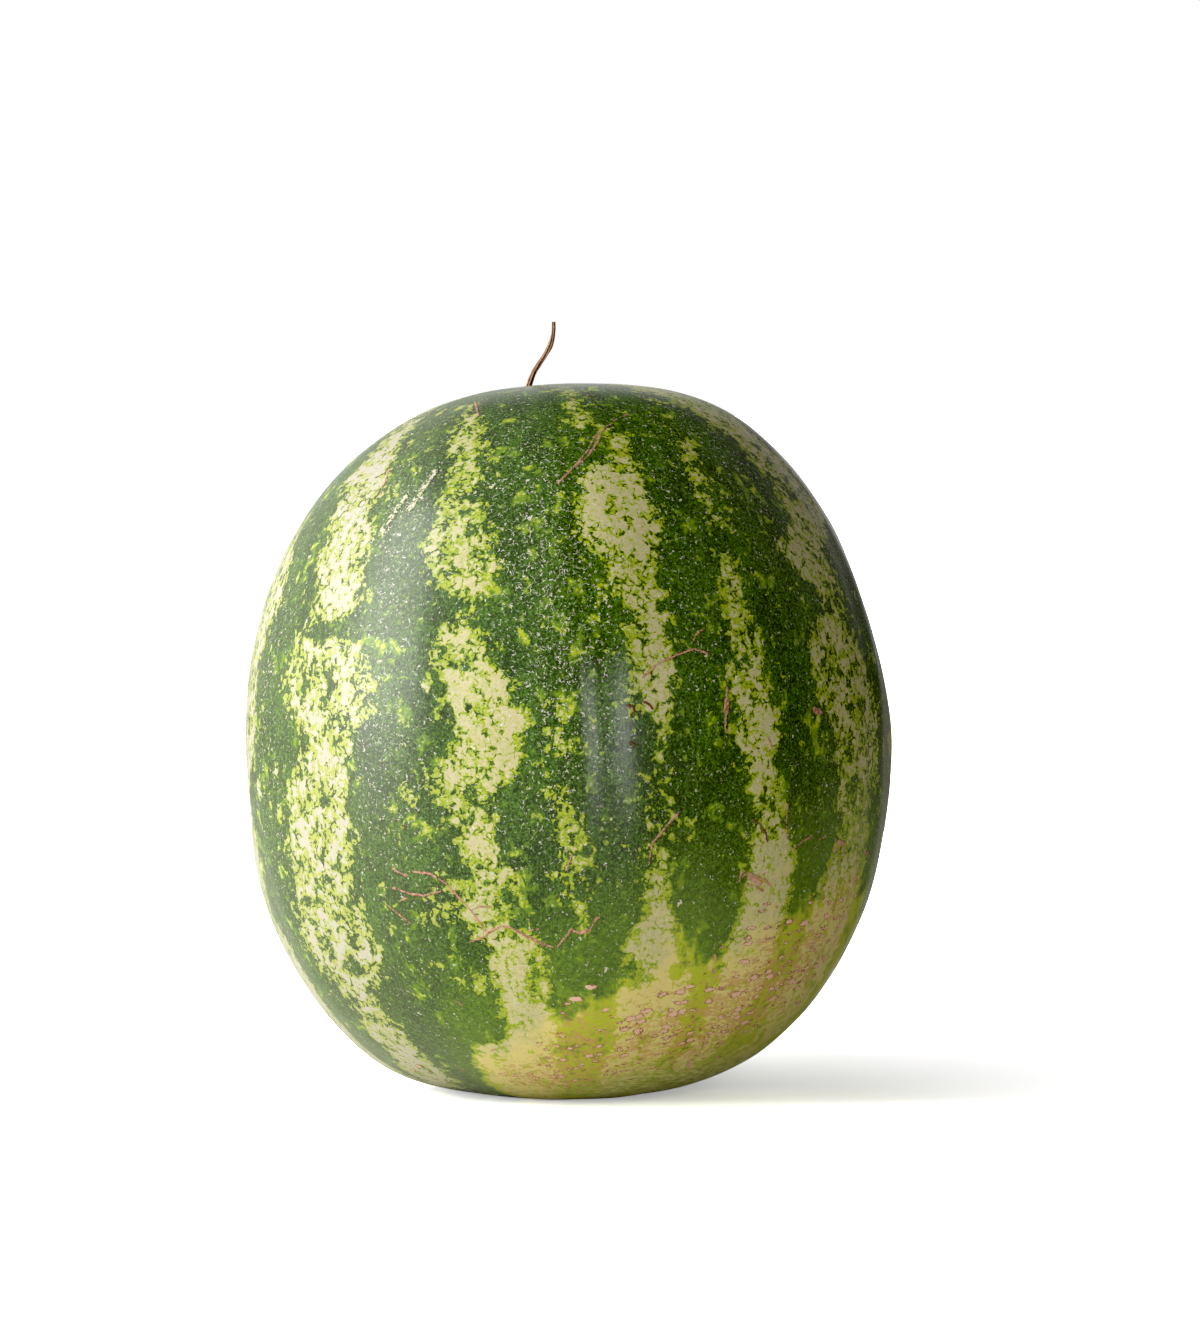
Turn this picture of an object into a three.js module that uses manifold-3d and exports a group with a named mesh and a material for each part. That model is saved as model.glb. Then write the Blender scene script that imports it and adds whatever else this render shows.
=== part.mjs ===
// A whole ripe watermelon standing on its blossom end, with a stub of the dried stem still on it.
// Millimetres, +Z up, front towards -Y. The origin is on the floor, in the flat spot that the fruit rests on,
// straight below the middle of its waist.
import * as THREE from 'three';
import Module from 'manifold-3d';
import { mergeVertices } from 'three/addons/utils/BufferGeometryUtils.js';

// The fruit's overall form: an oval, fuller than an ellipse, whose two halves differ a little.
const WAIST_RADIUS = 126.2;
const RISE = 141.9; // from the waist up to the top of the oval
const DROP = 136.8; // from the waist down to the bottom of the oval, before it is flattened
const FULLNESS_ABOVE = 2.2; // 2 is an ellipse, more is squarer
const FULLNESS_BELOW = 2.4;
const FLATTENED = 1.7; // height that the resting spot takes off the bottom
const WAIST_HEIGHT = DROP - FLATTENED;

// Broad swells and hollows that make it the uneven thing that grew. Azimuth is from +X towards +Y, in degrees.
const SWELLS = [
  { name: 'right shoulder hollow', azimuth: 0, elevation: 27, height: -2.3, spread: 13 },
  { name: 'right crown swell', azimuth: 0, elevation: 66, height: 3.6, spread: 15 },
  { name: 'right waist swell', azimuth: 0, elevation: 0, height: 1.7, spread: 9 },
  { name: 'right flank hollow', azimuth: 0, elevation: -38, height: -1.3, spread: 12 },
  { name: 'right base swell', azimuth: 0, elevation: -64, height: 1.3, spread: 13 },
  { name: 'left waist hollow', azimuth: 180, elevation: -10, height: -1.6, spread: 8 },
  { name: 'left base swell', azimuth: 180, elevation: -62, height: 4, spread: 13 },
  { name: 'front base swell', azimuth: -90, elevation: -47, height: 3, spread: 17 },
  { name: 'back shoulder swell', azimuth: 104, elevation: 34, height: 1.8, spread: 17 },
  { name: 'back flank hollow', azimuth: 66, elevation: -22, height: -1.6, spread: 15 },
  { name: 'back base swell', azimuth: 92, elevation: -45, height: 3.4, spread: 18 },
];

// The two ends that it grew between: the stem end is off the middle, so the fruit leans back a little.
const STEM_END = new THREE.Vector3(-16, 24, WAIST_HEIGHT + RISE - 5);
const BLOSSOM_END = new THREE.Vector3(1, 0, 0);

// Shallow ribs that run from one end to the other.
const RIB_COUNT = 10;
const RIB_HEIGHT = 0.6;
const FIRST_RIB = 4; // degrees from the front towards the right

// The dimple that the stem stands in.
const DIMPLE_DEPTH = 3;
const DIMPLE_RADIUS = 15;

const MERIDIANS = 80; // facets round the fruit
const PARALLELS = 46; // facets from pole to pole

// The dried stem: a tapered woody stub with five ridges, a flared foot and a knot half way up.
const STEM_SINK = 2; // length of the foot that is set in the fruit
const STEM_ROUTE = [ // the centre line, from the skin at the stem end
  [0, 0, -STEM_SINK],
  [0, 0, 0],
  [1.1, -0.1, 3.6],
  [3.3, -0.5, 9.5],
  [8, -1.5, 16.9],
  [10.2, -2.4, 21.6],
  [11, -3.1, 26],
  [11.1, -3.7, 29.6],
];
const STEM_FOOT_RADIUS = 1.9;
const STEM_RADIUS = 1.15; // just above the flare
const STEM_TIP_RADIUS = 0.68;
const STEM_FLARE = 0.13; // part of the length over which the flare dies out
const STEM_KNOT = { at: 0.72, width: 0.09, height: 0.22 };
const STEM_RIDGES = 5;
const STEM_RIDGE_DEPTH = 0.12; // as a part of the radius
const STEM_TWIST = 1.4; // radians over the whole length
const STEM_SIDES = 20;
const STEM_RINGS = 34;
const CLEARANCE = 0.3; // gap between the stem's foot and the fruit

const RIND_MATERIAL = new THREE.MeshStandardMaterial({ color: 0x3f6b24, roughness: 0.32, metalness: 0 });
const STEM_MATERIAL = new THREE.MeshStandardMaterial({ color: 0x8a6a44, roughness: 0.8, metalness: 0 });

const wasm = await Module();
wasm.setup();

const UP = new THREE.Vector3(0, 0, 1);
const WAIST_CENTRE = new THREE.Vector3(0, 0, WAIST_HEIGHT);
const { clamp, degToRad, lerp, radToDeg } = THREE.MathUtils;

// Makes a closed solid from a geometry, without the doubled points at its seam and the flat triangles at its poles.
function solidFrom(geometry) {
  geometry.deleteAttribute('normal');
  geometry.deleteAttribute('uv');
  const merged = mergeVertices(geometry);
  const corners = merged.index.array;
  const kept = [];
  for (let i = 0; i < corners.length; i += 3) {
    const [a, b, c] = corners.slice(i, i + 3);
    if (a !== b && b !== c && c !== a) kept.push(a, b, c);
  }
  const vertProperties = new Float32Array(merged.attributes.position.array);
  return new wasm.Manifold(new wasm.Mesh({ numProp: 3, vertProperties, triVerts: new Uint32Array(kept) }));
}

// Makes a named mesh from a solid.
function meshFrom(solid, material, name) {
  const { vertProperties, triVerts } = solid.getMesh();
  const geometry = new THREE.BufferGeometry();
  geometry.setAttribute('position', new THREE.BufferAttribute(vertProperties, 3));
  geometry.setIndex(new THREE.BufferAttribute(triVerts, 1));
  geometry.computeVertexNormals();
  const mesh = new THREE.Mesh(geometry, material);
  mesh.name = name;
  return mesh;
}

// Moves every point of a geometry to where the given rule puts it.
function movePoints(geometry, rule) {
  const position = geometry.attributes.position;
  const point = new THREE.Vector3();
  for (let i = 0; i < position.count; i += 1) {
    point.fromBufferAttribute(position, i);
    rule(point);
    position.setXYZ(i, point.x, point.y, point.z);
  }
  return geometry;
}

// Rises smoothly from nothing to 1 at zero distance and dies out over the given spread.
function bell(distance, spread) {
  return Math.exp(-((distance / spread) ** 2));
}

// Unit direction of an azimuth and an elevation in degrees.
function direction(azimuth, elevation) {
  const level = Math.cos(degToRad(elevation));
  const turn = degToRad(azimuth);
  return new THREE.Vector3(level * Math.cos(turn), level * Math.sin(turn), Math.sin(degToRad(elevation)));
}

const GROWTH_AXIS = STEM_END.clone().sub(BLOSSOM_END).normalize();
const FRONT = new THREE.Vector3(0, -1, 0).projectOnPlane(GROWTH_AXIS).normalize();
const RIGHT = new THREE.Vector3().crossVectors(FRONT, GROWTH_AXIS).negate();
const SWELL_DIRECTIONS = SWELLS.map((swell) => direction(swell.azimuth, swell.elevation));

// Distance from the middle of the waist to the skin, in a unit direction.
function skinRadius(towards) {
  const half = towards.z >= 0 ? RISE : DROP;
  const fullness = towards.z >= 0 ? FULLNESS_ABOVE : FULLNESS_BELOW;
  const level = Math.hypot(towards.x, towards.y) / WAIST_RADIUS;
  const oval = (level ** fullness + Math.abs(towards.z / half) ** fullness) ** (-1 / fullness);
  const swelling = SWELLS.reduce((sum, swell, i) => {
    const away = radToDeg(towards.angleTo(SWELL_DIRECTIONS[i]));
    return sum + swell.height * bell(away, swell.spread);
  }, 0);
  const longitude = radToDeg(Math.atan2(towards.dot(RIGHT), towards.dot(FRONT)));
  const fromEnds = 1 - towards.dot(GROWTH_AXIS) ** 2;
  const rib = RIB_HEIGHT * fromEnds * Math.cos(degToRad(RIB_COUNT * (longitude - FIRST_RIB)));
  return oval + swelling + rib;
}

// Takes a unit direction to the point of the skin that it meets, with the dimple pressed in round the stem.
function toSkin(point) {
  const above = point.z > 0;
  point.multiplyScalar(skinRadius(point)).add(WAIST_CENTRE);
  const fromStem = Math.hypot(point.x - STEM_END.x, point.y - STEM_END.y);
  if (above) point.z -= DIMPLE_DEPTH * bell(fromStem, DIMPLE_RADIUS);
  return point;
}

// Height of the skin beside the stem, found by closing in on the stem's place from above.
function skinAtStem() {
  const towards = new THREE.Vector3();
  let height = STEM_END.z;
  for (let i = 0; i < 20; i += 1) {
    towards.set(STEM_END.x, STEM_END.y, height - WAIST_HEIGHT).normalize();
    height = toSkin(towards).z;
  }
  return new THREE.Vector3(STEM_END.x, STEM_END.y, height);
}

// The whole fruit before the stem's socket is cut: a ball turned on the waist axis and moved out to the skin.
function fruitSolid() {
  const profile = [];
  for (let i = 0; i <= PARALLELS; i += 1) {
    const angle = (Math.PI * i) / PARALLELS;
    const onAxis = i === 0 || i === PARALLELS;
    profile.push(new THREE.Vector2(onAxis ? 0 : Math.sin(angle), -Math.cos(angle)));
  }
  const ball = new THREE.LatheGeometry(profile, MERIDIANS).rotateX(Math.PI / 2);
  const fruit = solidFrom(movePoints(ball, toSkin));
  const floor = new THREE.BoxGeometry(4 * WAIST_RADIUS, 4 * WAIST_RADIUS, WAIST_RADIUS);
  floor.translate(0, 0, -WAIST_RADIUS / 2);
  return fruit.subtract(solidFrom(floor));
}

// Radius of the stem at a part of its length, without its ridges.
function stemRadius(along) {
  const taper = lerp(STEM_RADIUS, STEM_TIP_RADIUS, along);
  const flare = (STEM_FOOT_RADIUS - STEM_RADIUS) * bell(along, STEM_FLARE);
  const knot = STEM_KNOT.height * bell(along - STEM_KNOT.at, STEM_KNOT.width);
  return taper + flare + knot;
}

// The stem: a ridged rod turned upright, then bent along its route from the skin.
function stemSolid(foot) {
  const profile = [new THREE.Vector2(0, 0)];
  for (let i = 0; i <= STEM_RINGS; i += 1) {
    profile.push(new THREE.Vector2(stemRadius(i / STEM_RINGS), i / STEM_RINGS));
  }
  profile.push(new THREE.Vector2(0, 1));
  const rod = new THREE.LatheGeometry(profile, STEM_SIDES).rotateX(Math.PI / 2);
  const route = new THREE.CatmullRomCurve3(STEM_ROUTE.map((place) => foot.clone().add(new THREE.Vector3(...place))));
  const bend = (point) => {
    const along = clamp(point.z, 0, 1);
    const angle = Math.atan2(point.y, point.x);
    const ridge = 1 + STEM_RIDGE_DEPTH * Math.cos(STEM_RIDGES * (angle + STEM_TWIST * along));
    const away = Math.hypot(point.x, point.y) * ridge;
    const frame = new THREE.Quaternion().setFromUnitVectors(UP, route.getTangentAt(along));
    point.set(away * Math.cos(angle), away * Math.sin(angle), 0).applyQuaternion(frame);
    point.add(route.getPointAt(along));
  };
  return solidFrom(movePoints(rod, bend));
}

// The socket that the stem's foot stands in: a plug a little wider and deeper than the foot.
function socketSolid(foot) {
  const widest = STEM_FOOT_RADIUS * (1 + STEM_RIDGE_DEPTH) + CLEARANCE;
  const height = 4 * STEM_SINK;
  const plug = new THREE.CylinderGeometry(widest, widest, height, STEM_SIDES).rotateX(Math.PI / 2);
  plug.translate(foot.x, foot.y, foot.z - STEM_SINK - CLEARANCE + height / 2);
  return solidFrom(plug);
}

const foot = skinAtStem();
const stem = stemSolid(foot);
const melon = fruitSolid().subtract(socketSolid(foot));

const watermelon = new THREE.Group();
watermelon.add(meshFrom(melon, RIND_MATERIAL, 'melon'));
watermelon.add(meshFrom(stem, STEM_MATERIAL, 'stem'));

export default watermelon;
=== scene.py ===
"""A whole striped watermelon with its dried stem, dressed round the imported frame.

The rind repeats the frame's own form by the same formula, finer, with its small ridges, scars and dimple.
Places on it are given by longitude, from the front towards the right of the picture, and by polar angle, from
the stem end down to the blossom end, both in degrees.
"""
import logging
import math
import random
from dataclasses import dataclass, field
from enum import Enum
from typing import Any, NamedTuple, Sequence

import bmesh
import bpy
import numpy as np
from mathutils import Matrix, Vector, noise


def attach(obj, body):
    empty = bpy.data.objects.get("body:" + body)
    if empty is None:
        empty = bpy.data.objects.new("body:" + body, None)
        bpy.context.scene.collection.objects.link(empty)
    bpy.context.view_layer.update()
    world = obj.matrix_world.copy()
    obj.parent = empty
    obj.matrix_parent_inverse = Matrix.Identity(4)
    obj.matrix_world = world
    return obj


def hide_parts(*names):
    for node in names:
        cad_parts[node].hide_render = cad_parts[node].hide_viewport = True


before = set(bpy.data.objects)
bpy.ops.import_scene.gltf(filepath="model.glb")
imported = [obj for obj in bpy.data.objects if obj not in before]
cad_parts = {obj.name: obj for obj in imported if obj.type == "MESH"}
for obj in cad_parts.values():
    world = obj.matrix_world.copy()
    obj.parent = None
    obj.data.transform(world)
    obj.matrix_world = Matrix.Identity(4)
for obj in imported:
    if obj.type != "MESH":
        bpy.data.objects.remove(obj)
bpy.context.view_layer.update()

MM = 0.001
# The fruit's usual radius, in millimetres, for turning angles into lengths.
MEAN_RADIUS = 135.0
Array = np.ndarray
Colour = tuple[float, float, float, float]
Triple = tuple[float, float, float]
log = logging.getLogger("watermelon")


def bell(distance: Array, spread: float) -> Array:
    """Returns 1 at no distance and dies out smoothly over the spread."""
    return np.exp(-((distance / spread) ** 2))


def ease(value: Array, low: float, high: float) -> Array:
    """Returns 0 below low, 1 above high and a smooth rise between."""
    share = np.clip((value - low) / (high - low), 0, 1)
    return share * share * (3 - 2 * share)


def turned(degrees: Array) -> Array:
    """Returns angles brought to within half a turn of zero."""
    return (degrees + 180) % 360 - 180


class Swell(NamedTuple):
    """A broad swelling of the fruit, or a hollow where its height is negative, in degrees and millimetres."""

    azimuth: float
    elevation: float
    height: float
    spread: float


class Ridge(NamedTuple):
    """A fine ridge, or a groove, that runs from end to end at one longitude."""

    longitude: float
    height: float
    width: float


@dataclass(frozen=True)
class FruitForm:
    """The fruit's form as one formula, in millimetres: the frame's own, with the finer ridges added."""

    waist_radius: float = 126.2
    rise: float = 141.9
    drop: float = 136.8
    fullness_above: float = 2.2
    fullness_below: float = 2.4
    flattened: float = 1.7
    stem_end: tuple[float, float] = (-16.0, 24.0)
    stem_end_below_top: float = 5.0
    blossom_end: tuple[float, float] = (1.0, 0.0)
    rib_count: int = 10
    rib_height: float = 0.6
    first_rib: float = 4.0
    dimple_depth: float = 3.0
    dimple_radius: float = 15.0
    swells: tuple[Swell, ...] = (
        Swell(0, 27, -2.3, 13),
        Swell(0, 66, 3.6, 15),
        Swell(0, 0, 1.7, 9),
        Swell(0, -38, -1.3, 12),
        Swell(0, -64, 1.3, 13),
        Swell(180, -10, -1.6, 8),
        Swell(180, -62, 4.0, 13),
        Swell(-90, -47, 3.0, 17),
        Swell(104, 34, 1.8, 17),
        Swell(66, -22, -1.6, 15),
        Swell(92, -45, 3.4, 18),
    )
    ridges: tuple[Ridge, ...] = (
        Ridge(2.8, 0.22, 2.0),
        Ridge(5.6, -0.22, 1.3),
        Ridge(10.5, 0.25, 2.4),
        Ridge(-68.0, 0.45, 2.6),
        Ridge(-61.0, -0.20, 2.5),
        Ridge(74.0, 0.55, 2.4),
        Ridge(69.0, -0.30, 2.2),
        Ridge(-31.0, 0.18, 3.0),
        Ridge(27.5, 0.15, 1.6),
        Ridge(43.0, 0.18, 2.5),
    )
    fine_ridges: int = 29
    fine_ridge_height: float = 0.10

    @property
    def waist_height(self) -> float:
        """Height of the waist over the floor."""
        return self.drop - self.flattened

    @property
    def waist_centre(self) -> Array:
        """Middle of the waist."""
        return np.array([0.0, 0.0, self.waist_height])

    def ends(self) -> tuple[Array, Array]:
        """Returns the stem end and the blossom end."""
        top = np.array([*self.stem_end, self.waist_height + self.rise - self.stem_end_below_top])
        return top, np.array([*self.blossom_end, 0.0])

    def growth_frame(self) -> tuple[Array, Array, Array]:
        """Works out how the fruit lies.

        Returns:
            The unit directions along the fruit, to its front and to the right of its front.
        """
        top, bottom = self.ends()
        along = (top - bottom) / np.linalg.norm(top - bottom)
        front = np.array([0.0, -1.0, 0.0])
        front -= along * (front @ along)
        front /= np.linalg.norm(front)
        return along, front, np.cross(along, front)

    def radius(self, towards: Array) -> Array:
        """Measures from the middle of the waist to the skin.

        Args:
            towards: Unit directions, one a row.

        Returns:
            The distances.
        """
        above = towards[:, 2] >= 0
        half = np.where(above, self.rise, self.drop)
        fullness = np.where(above, self.fullness_above, self.fullness_below)
        level = np.hypot(towards[:, 0], towards[:, 1]) / self.waist_radius
        reach = (level**fullness + np.abs(towards[:, 2] / half) ** fullness) ** (-1 / fullness)
        for swell in self.swells:
            turn, tilt = math.radians(swell.azimuth), math.radians(swell.elevation)
            level_part = math.cos(tilt)
            peak = np.array([level_part * math.cos(turn), level_part * math.sin(turn), math.sin(tilt)])
            away = np.degrees(np.arccos(np.clip(towards @ peak, -1, 1)))
            reach += swell.height * bell(away, swell.spread)
        along, front, right = self.growth_frame()
        longitude = np.degrees(np.arctan2(towards @ right, towards @ front))
        from_ends = 1 - (towards @ along) ** 2
        rib_turn = np.radians(self.rib_count * (longitude - self.first_rib))
        reach += self.rib_height * from_ends * np.cos(rib_turn)
        reach += self.fine_ridge_height * from_ends * np.cos(np.radians(self.fine_ridges * longitude))
        for ridge in self.ridges:
            reach += ridge.height * from_ends * bell(turned(longitude - ridge.longitude), ridge.width)
        return reach

    def skin(self, towards: Array) -> Array:
        """Finds points of the skin of the fruit as it stands on the floor.

        Args:
            towards: Unit directions from the middle of the waist, one a row.

        Returns:
            The points, one a row.
        """
        points = towards * self.radius(towards)[:, None] + self.waist_centre
        from_stem = np.hypot(points[:, 0] - self.stem_end[0], points[:, 1] - self.stem_end[1])
        dimple = self.dimple_depth * bell(from_stem, self.dimple_radius)
        points[:, 2] -= np.where(towards[:, 2] > 0, dimple, 0)
        return points

    def skin_at(self, longitude: float, polar: float) -> Array:
        """Finds one point of the skin.

        Args:
            longitude: Degrees to the right of the front.
            polar: Degrees from the stem end.

        Returns:
            The point.
        """
        along, front, right = self.growth_frame()
        top, bottom = self.ends()
        turn, fall = math.radians(longitude), math.radians(polar)
        towards = math.sin(fall) * (math.sin(turn) * right + math.cos(turn) * front) + math.cos(fall) * along
        middle = (top + bottom) / 2
        reach = self.waist_radius
        for _ in range(12):
            point = middle + towards * reach
            from_centre = point - self.waist_centre
            distance = float(np.linalg.norm(from_centre))
            found = self.skin((from_centre / distance)[None])[0]
            reach *= float(np.linalg.norm(found - self.waist_centre)) / distance
        return middle + towards * reach

    def places(self, points: Array) -> tuple[Array, Array]:
        """Works out where on the skin points are.

        Args:
            points: The points, one a row.

        Returns:
            Their degrees to the right of the front, and their degrees from the stem end.
        """
        along, front, right = self.growth_frame()
        top, bottom = self.ends()
        away = points - (top + bottom) / 2
        longitude = np.degrees(np.arctan2(away @ right, away @ front))
        height = (away @ along) / np.linalg.norm(away, axis=1)
        return longitude, np.degrees(np.arccos(np.clip(height, -1, 1)))


class Station(NamedTuple):
    """Where a pale stripe's two edges are at one polar angle, and how creamy it is there, from 0 to 1."""

    polar: float
    left: float
    right: float
    cream: float


@dataclass(frozen=True)
class Stripe:
    """A pale stripe that follows its stations from the stem end towards the blossom end."""

    name: str
    stations: tuple[Station, ...]

    @classmethod
    def through(cls, name: str, *stations: tuple[float, float, float, float]) -> "Stripe":
        """Makes a stripe from stations written as plain numbers."""
        return cls(name, tuple(Station(*station) for station in stations))

    def depth(self, longitude: Array, polar: Array, girth: Array) -> tuple[Array, Array]:
        """Measures how far inside the stripe each place is.

        Args:
            longitude: Degrees.
            polar: Degrees.
            girth: Distance of the skin from the fruit's long axis, in millimetres.

        Returns:
            The depth in millimetres, negative outside, and the creaminess.
        """
        marks = np.array(self.stations)
        left = np.interp(polar, marks[:, 0], marks[:, 1])
        right = np.interp(polar, marks[:, 0], marks[:, 2])
        across = (right - left) / 2 - np.abs(turned(longitude - (left + right) / 2))
        ends = np.minimum(polar - marks[0, 0], marks[-1, 0] - polar)
        mm_per_degree = math.radians(1) * girth
        depth = np.minimum(across * mm_per_degree, ends * math.radians(1) * MEAN_RADIUS)
        return depth, np.interp(polar, marks[:, 0], marks[:, 3])


class Spot(NamedTuple):
    """A soft oval spot on the skin, in degrees, and how much it adds of some quality."""

    longitude: float
    polar: float
    half_width: float
    half_height: float
    strength: float

    def away(self, longitude: Array, polar: Array) -> Array:
        """Measures how far off its middle each place is, with 1 at its edge."""
        across = turned(longitude - self.longitude) / self.half_width
        return np.hypot(across, (polar - self.polar) / self.half_height)


def spots(*rows: tuple[float, float, float, float, float]) -> tuple[Spot, ...]:
    """Makes spots from rows of plain numbers."""
    return tuple(Spot(*row) for row in rows)


FRONT_STRIPES = (
    Stripe.through(
        "far left",
        (28, -84, -74, 0.4), (40, -84, -72, 0.5), (50, -80, -64, 0.5), (56, -78, -58, 0.5),
        (62, -78, -58, 0.6), (70, -80, -61, 0.5), (76, -80, -63, 0.6), (84, -80, -63, 0.7),
        (90, -82, -65, 0.7), (96, -86, -70, 0.7), (104, -88, -68, 0.7), (112, -88, -69, 0.6),
        (117, -86, -73, 0.5), (122, -86, -66, 0.8), (130, -88, -66, 0.9), (140, -88, -68, 0.9),
        (148, -86, -70, 0.8), (160, -84, -70, 0.6),
    ),
    Stripe.through(
        "left",
        (17, -60, -48, 0.3), (22, -60, -46, 0.3), (28, -56, -41, 0.5), (32, -50, -41, 0.6),
        (36, -50, -37, 0.6), (40, -53, -35, 0.6), (45, -48, -33, 0.6), (50, -48, -35, 0.5),
        (54, -48, -32, 0.45), (58, -48, -32, 0.4), (62, -45, -32, 0.85), (66, -44, -32, 0.9),
        (68.5, -47, -36, 0.4), (70, -50, -43, 0.25), (72, -49, -33, 0.35), (76, -51, -29, 0.4),
        (80, -51, -28, 0.45), (84, -50, -29, 0.45), (88, -47, -32, 0.35), (92, -49, -34, 0.55),
        (96, -52, -35, 0.5), (100, -51, -36, 0.5), (104, -53, -34, 0.55), (108, -54, -36, 0.45),
        (112, -53, -37, 0.35), (116, -57, -35, 0.4), (120, -57, -35, 0.45), (124, -57, -36, 0.5),
        (128, -56, -36, 0.35), (130, -54, -42, 0.3), (134, -54, -42, 0.5), (140, -54, -40, 0.5),
        (146, -56, -40, 0.8), (151, -64, -42, 0.9), (158, -66, -44, 0.8),
    ),
    Stripe.through(
        "left of the middle",
        (23, -26, -18, 0.2), (27, -21, -17, 0.25), (30, -20, -14, 0.35), (34, -20, -11, 0.4),
        (38, -20, -9, 0.5), (42, -19, -9, 0.55), (45, -19, -8, 0.4), (48, -14, -8, 0.15), (51, -19, -9, 0.5),
        (55, -18, -7, 0.55), (58, -20, -7, 0.6), (61, -20, -6, 0.6), (64, -18, -6, 0.5), (67, -14, -8, 0.4),
        (69.5, -12, -9, 0.1), (72, -17, -11, 0.3), (75, -17, -8, 0.4), (78, -17, -9, 0.5),
        (80.5, -16, -4, 0.8), (84, -15, -4, 1.0), (88, -14, -3, 1.0), (92, -16, -4, 0.95),
        (96, -19, -5, 0.65), (98, -20, -8, 0.4), (101, -18, -9, 0.35), (104, -15, -9.5, 0.7),
        (107, -14.5, -8, 0.75), (111, -14, -6, 0.6), (114, -14, -8, 0.3), (118, -17, -9, 0.15),
        (120, -15, -4, 0.5), (123, -11, -2, 0.95), (128, -12, -2, 1.0), (132, -12, -1.5, 1.0),
        (138.5, -12, -1, 1.0), (140.5, -20, -1, 1.0), (145, -25, -1, 1.0), (150, -26, 0, 0.9),
        (157, -28, 0, 0.9), (168, -30, 0, 0.8),
    ),
    Stripe.through(
        "thin one in the middle",
        (85.5, 1.5, 3.2, 0.15), (89, 0.5, 3.8, 0.2), (92, -0.5, 3.5, 0.05), (95, -1.5, 1, 0.05),
        (98, -2, 3.5, 0.25), (101, 0.5, 6, 0.15), (104, 1.2, 6, 0.15), (108, 1, 5, 0.35),
        (112, 0.8, 5.5, 0.3), (115, 1, 6.2, 0.2), (118, 3.5, 6.2, 0.1), (120, 4, 6, 0.0),
    ),
    Stripe.through(
        "right of the middle",
        (20, 11, 20, 0.3), (24, 12, 20, 0.4), (28, 12, 20, 0.4), (31, 10, 19, 0.45), (35, 10, 18, 0.4),
        (38, 12, 20, 0.3), (40, 17, 24, 0.2), (44, 19, 24, 0.25), (46.5, 12, 23, 0.6), (49, 10, 22, 0.9),
        (52, 10, 22, 0.95), (55, 8, 23, 0.95), (58, 7.5, 23, 0.9), (60, 8, 22, 0.75), (63, 11, 21, 0.8),
        (66, 12, 20, 0.8), (69, 13, 20, 0.7), (72, 15, 20, 0.5), (75, 13, 20, 0.55), (78, 13.5, 21, 0.65),
        (81, 14, 21, 0.75), (84, 15, 20.5, 0.8), (87, 15, 20, 0.9), (90, 16.5, 20, 0.4), (92, 17, 20, -0.3),
        (95, 15, 20, -0.25), (99, 15, 20, -0.3), (103, 14, 21, -0.1), (107, 15, 20, -0.1), (111, 14, 19, 0.5),
        (115, 14.5, 19, 0.8), (118, 15, 20.5, 0.8), (121, 12, 21, 1.0), (125, 11, 22, 1.0),
        (129, 10.5, 26, 1.0), (134, 10, 27, 1.0), (142, 9, 27, 0.9), (152, 8, 26, 0.8), (166, 6, 24, 0.7),
    ),
    Stripe.through(
        "right",
        (30, 40, 43, 0.0), (37, 36, 39, 0.05), (42, 34.5, 38.5, 0.3), (46, 33, 39, 0.3), (50, 31, 36, 0.1),
        (54, 31, 38, 0.2), (58, 31, 39, 0.15), (61, 33, 36, 0.0), (64.5, 31, 35, 0.3), (68, 31, 35.5, 0.4),
        (72, 30.5, 35.5, 0.4), (76, 30.5, 36, 0.45), (80, 30, 36, 0.5), (84, 30, 37.5, 0.65),
        (88, 30, 38.5, 0.75), (92, 31, 38.5, 0.75), (96, 32, 37.5, 0.7), (100, 33, 38.5, 0.5),
        (104, 33.5, 40, 0.6), (108, 33, 42, 0.85), (112, 33, 43, 1.0), (116, 33, 43.5, 1.0),
        (120, 32, 43, 1.0), (124, 31, 43, 1.0), (130, 30, 43.5, 1.0), (140, 30, 43, 0.9), (152, 28, 42, 0.8),
        (166, 26, 40, 0.7),
    ),
    Stripe.through(
        "far right",
        (17, 44, 62, 0.5), (24, 46, 64, 0.55), (30, 50, 66, 0.6), (35, 50, 66, 0.55), (40, 52, 67, 0.5),
        (45, 53, 68, 0.5), (50, 52, 69, 0.55), (55, 53, 69, 0.6), (58, 54, 68, 0.5), (60.5, 46, 64, 0.4),
        (63, 45.5, 60, 0.75), (66, 46.5, 60, 0.7), (69, 51, 61, 0.35), (73, 53, 63, 0.25),
        (76, 47.5, 62, 0.3), (80, 46, 63, 0.4), (84, 47, 66, 0.5), (88, 49, 67, 0.55), (92, 52, 68, 0.55),
        (96, 52, 68, 0.5), (100, 53, 67, 0.4), (104, 53, 66, 0.35), (108, 54, 66, 0.3), (112, 52, 66, 0.5),
        (116, 50, 66, 0.8), (124, 49, 66, 0.9), (136, 50, 68, 0.7), (150, 50, 66, 0.5), (164, 48, 64, 0.4),
    ),
)

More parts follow.
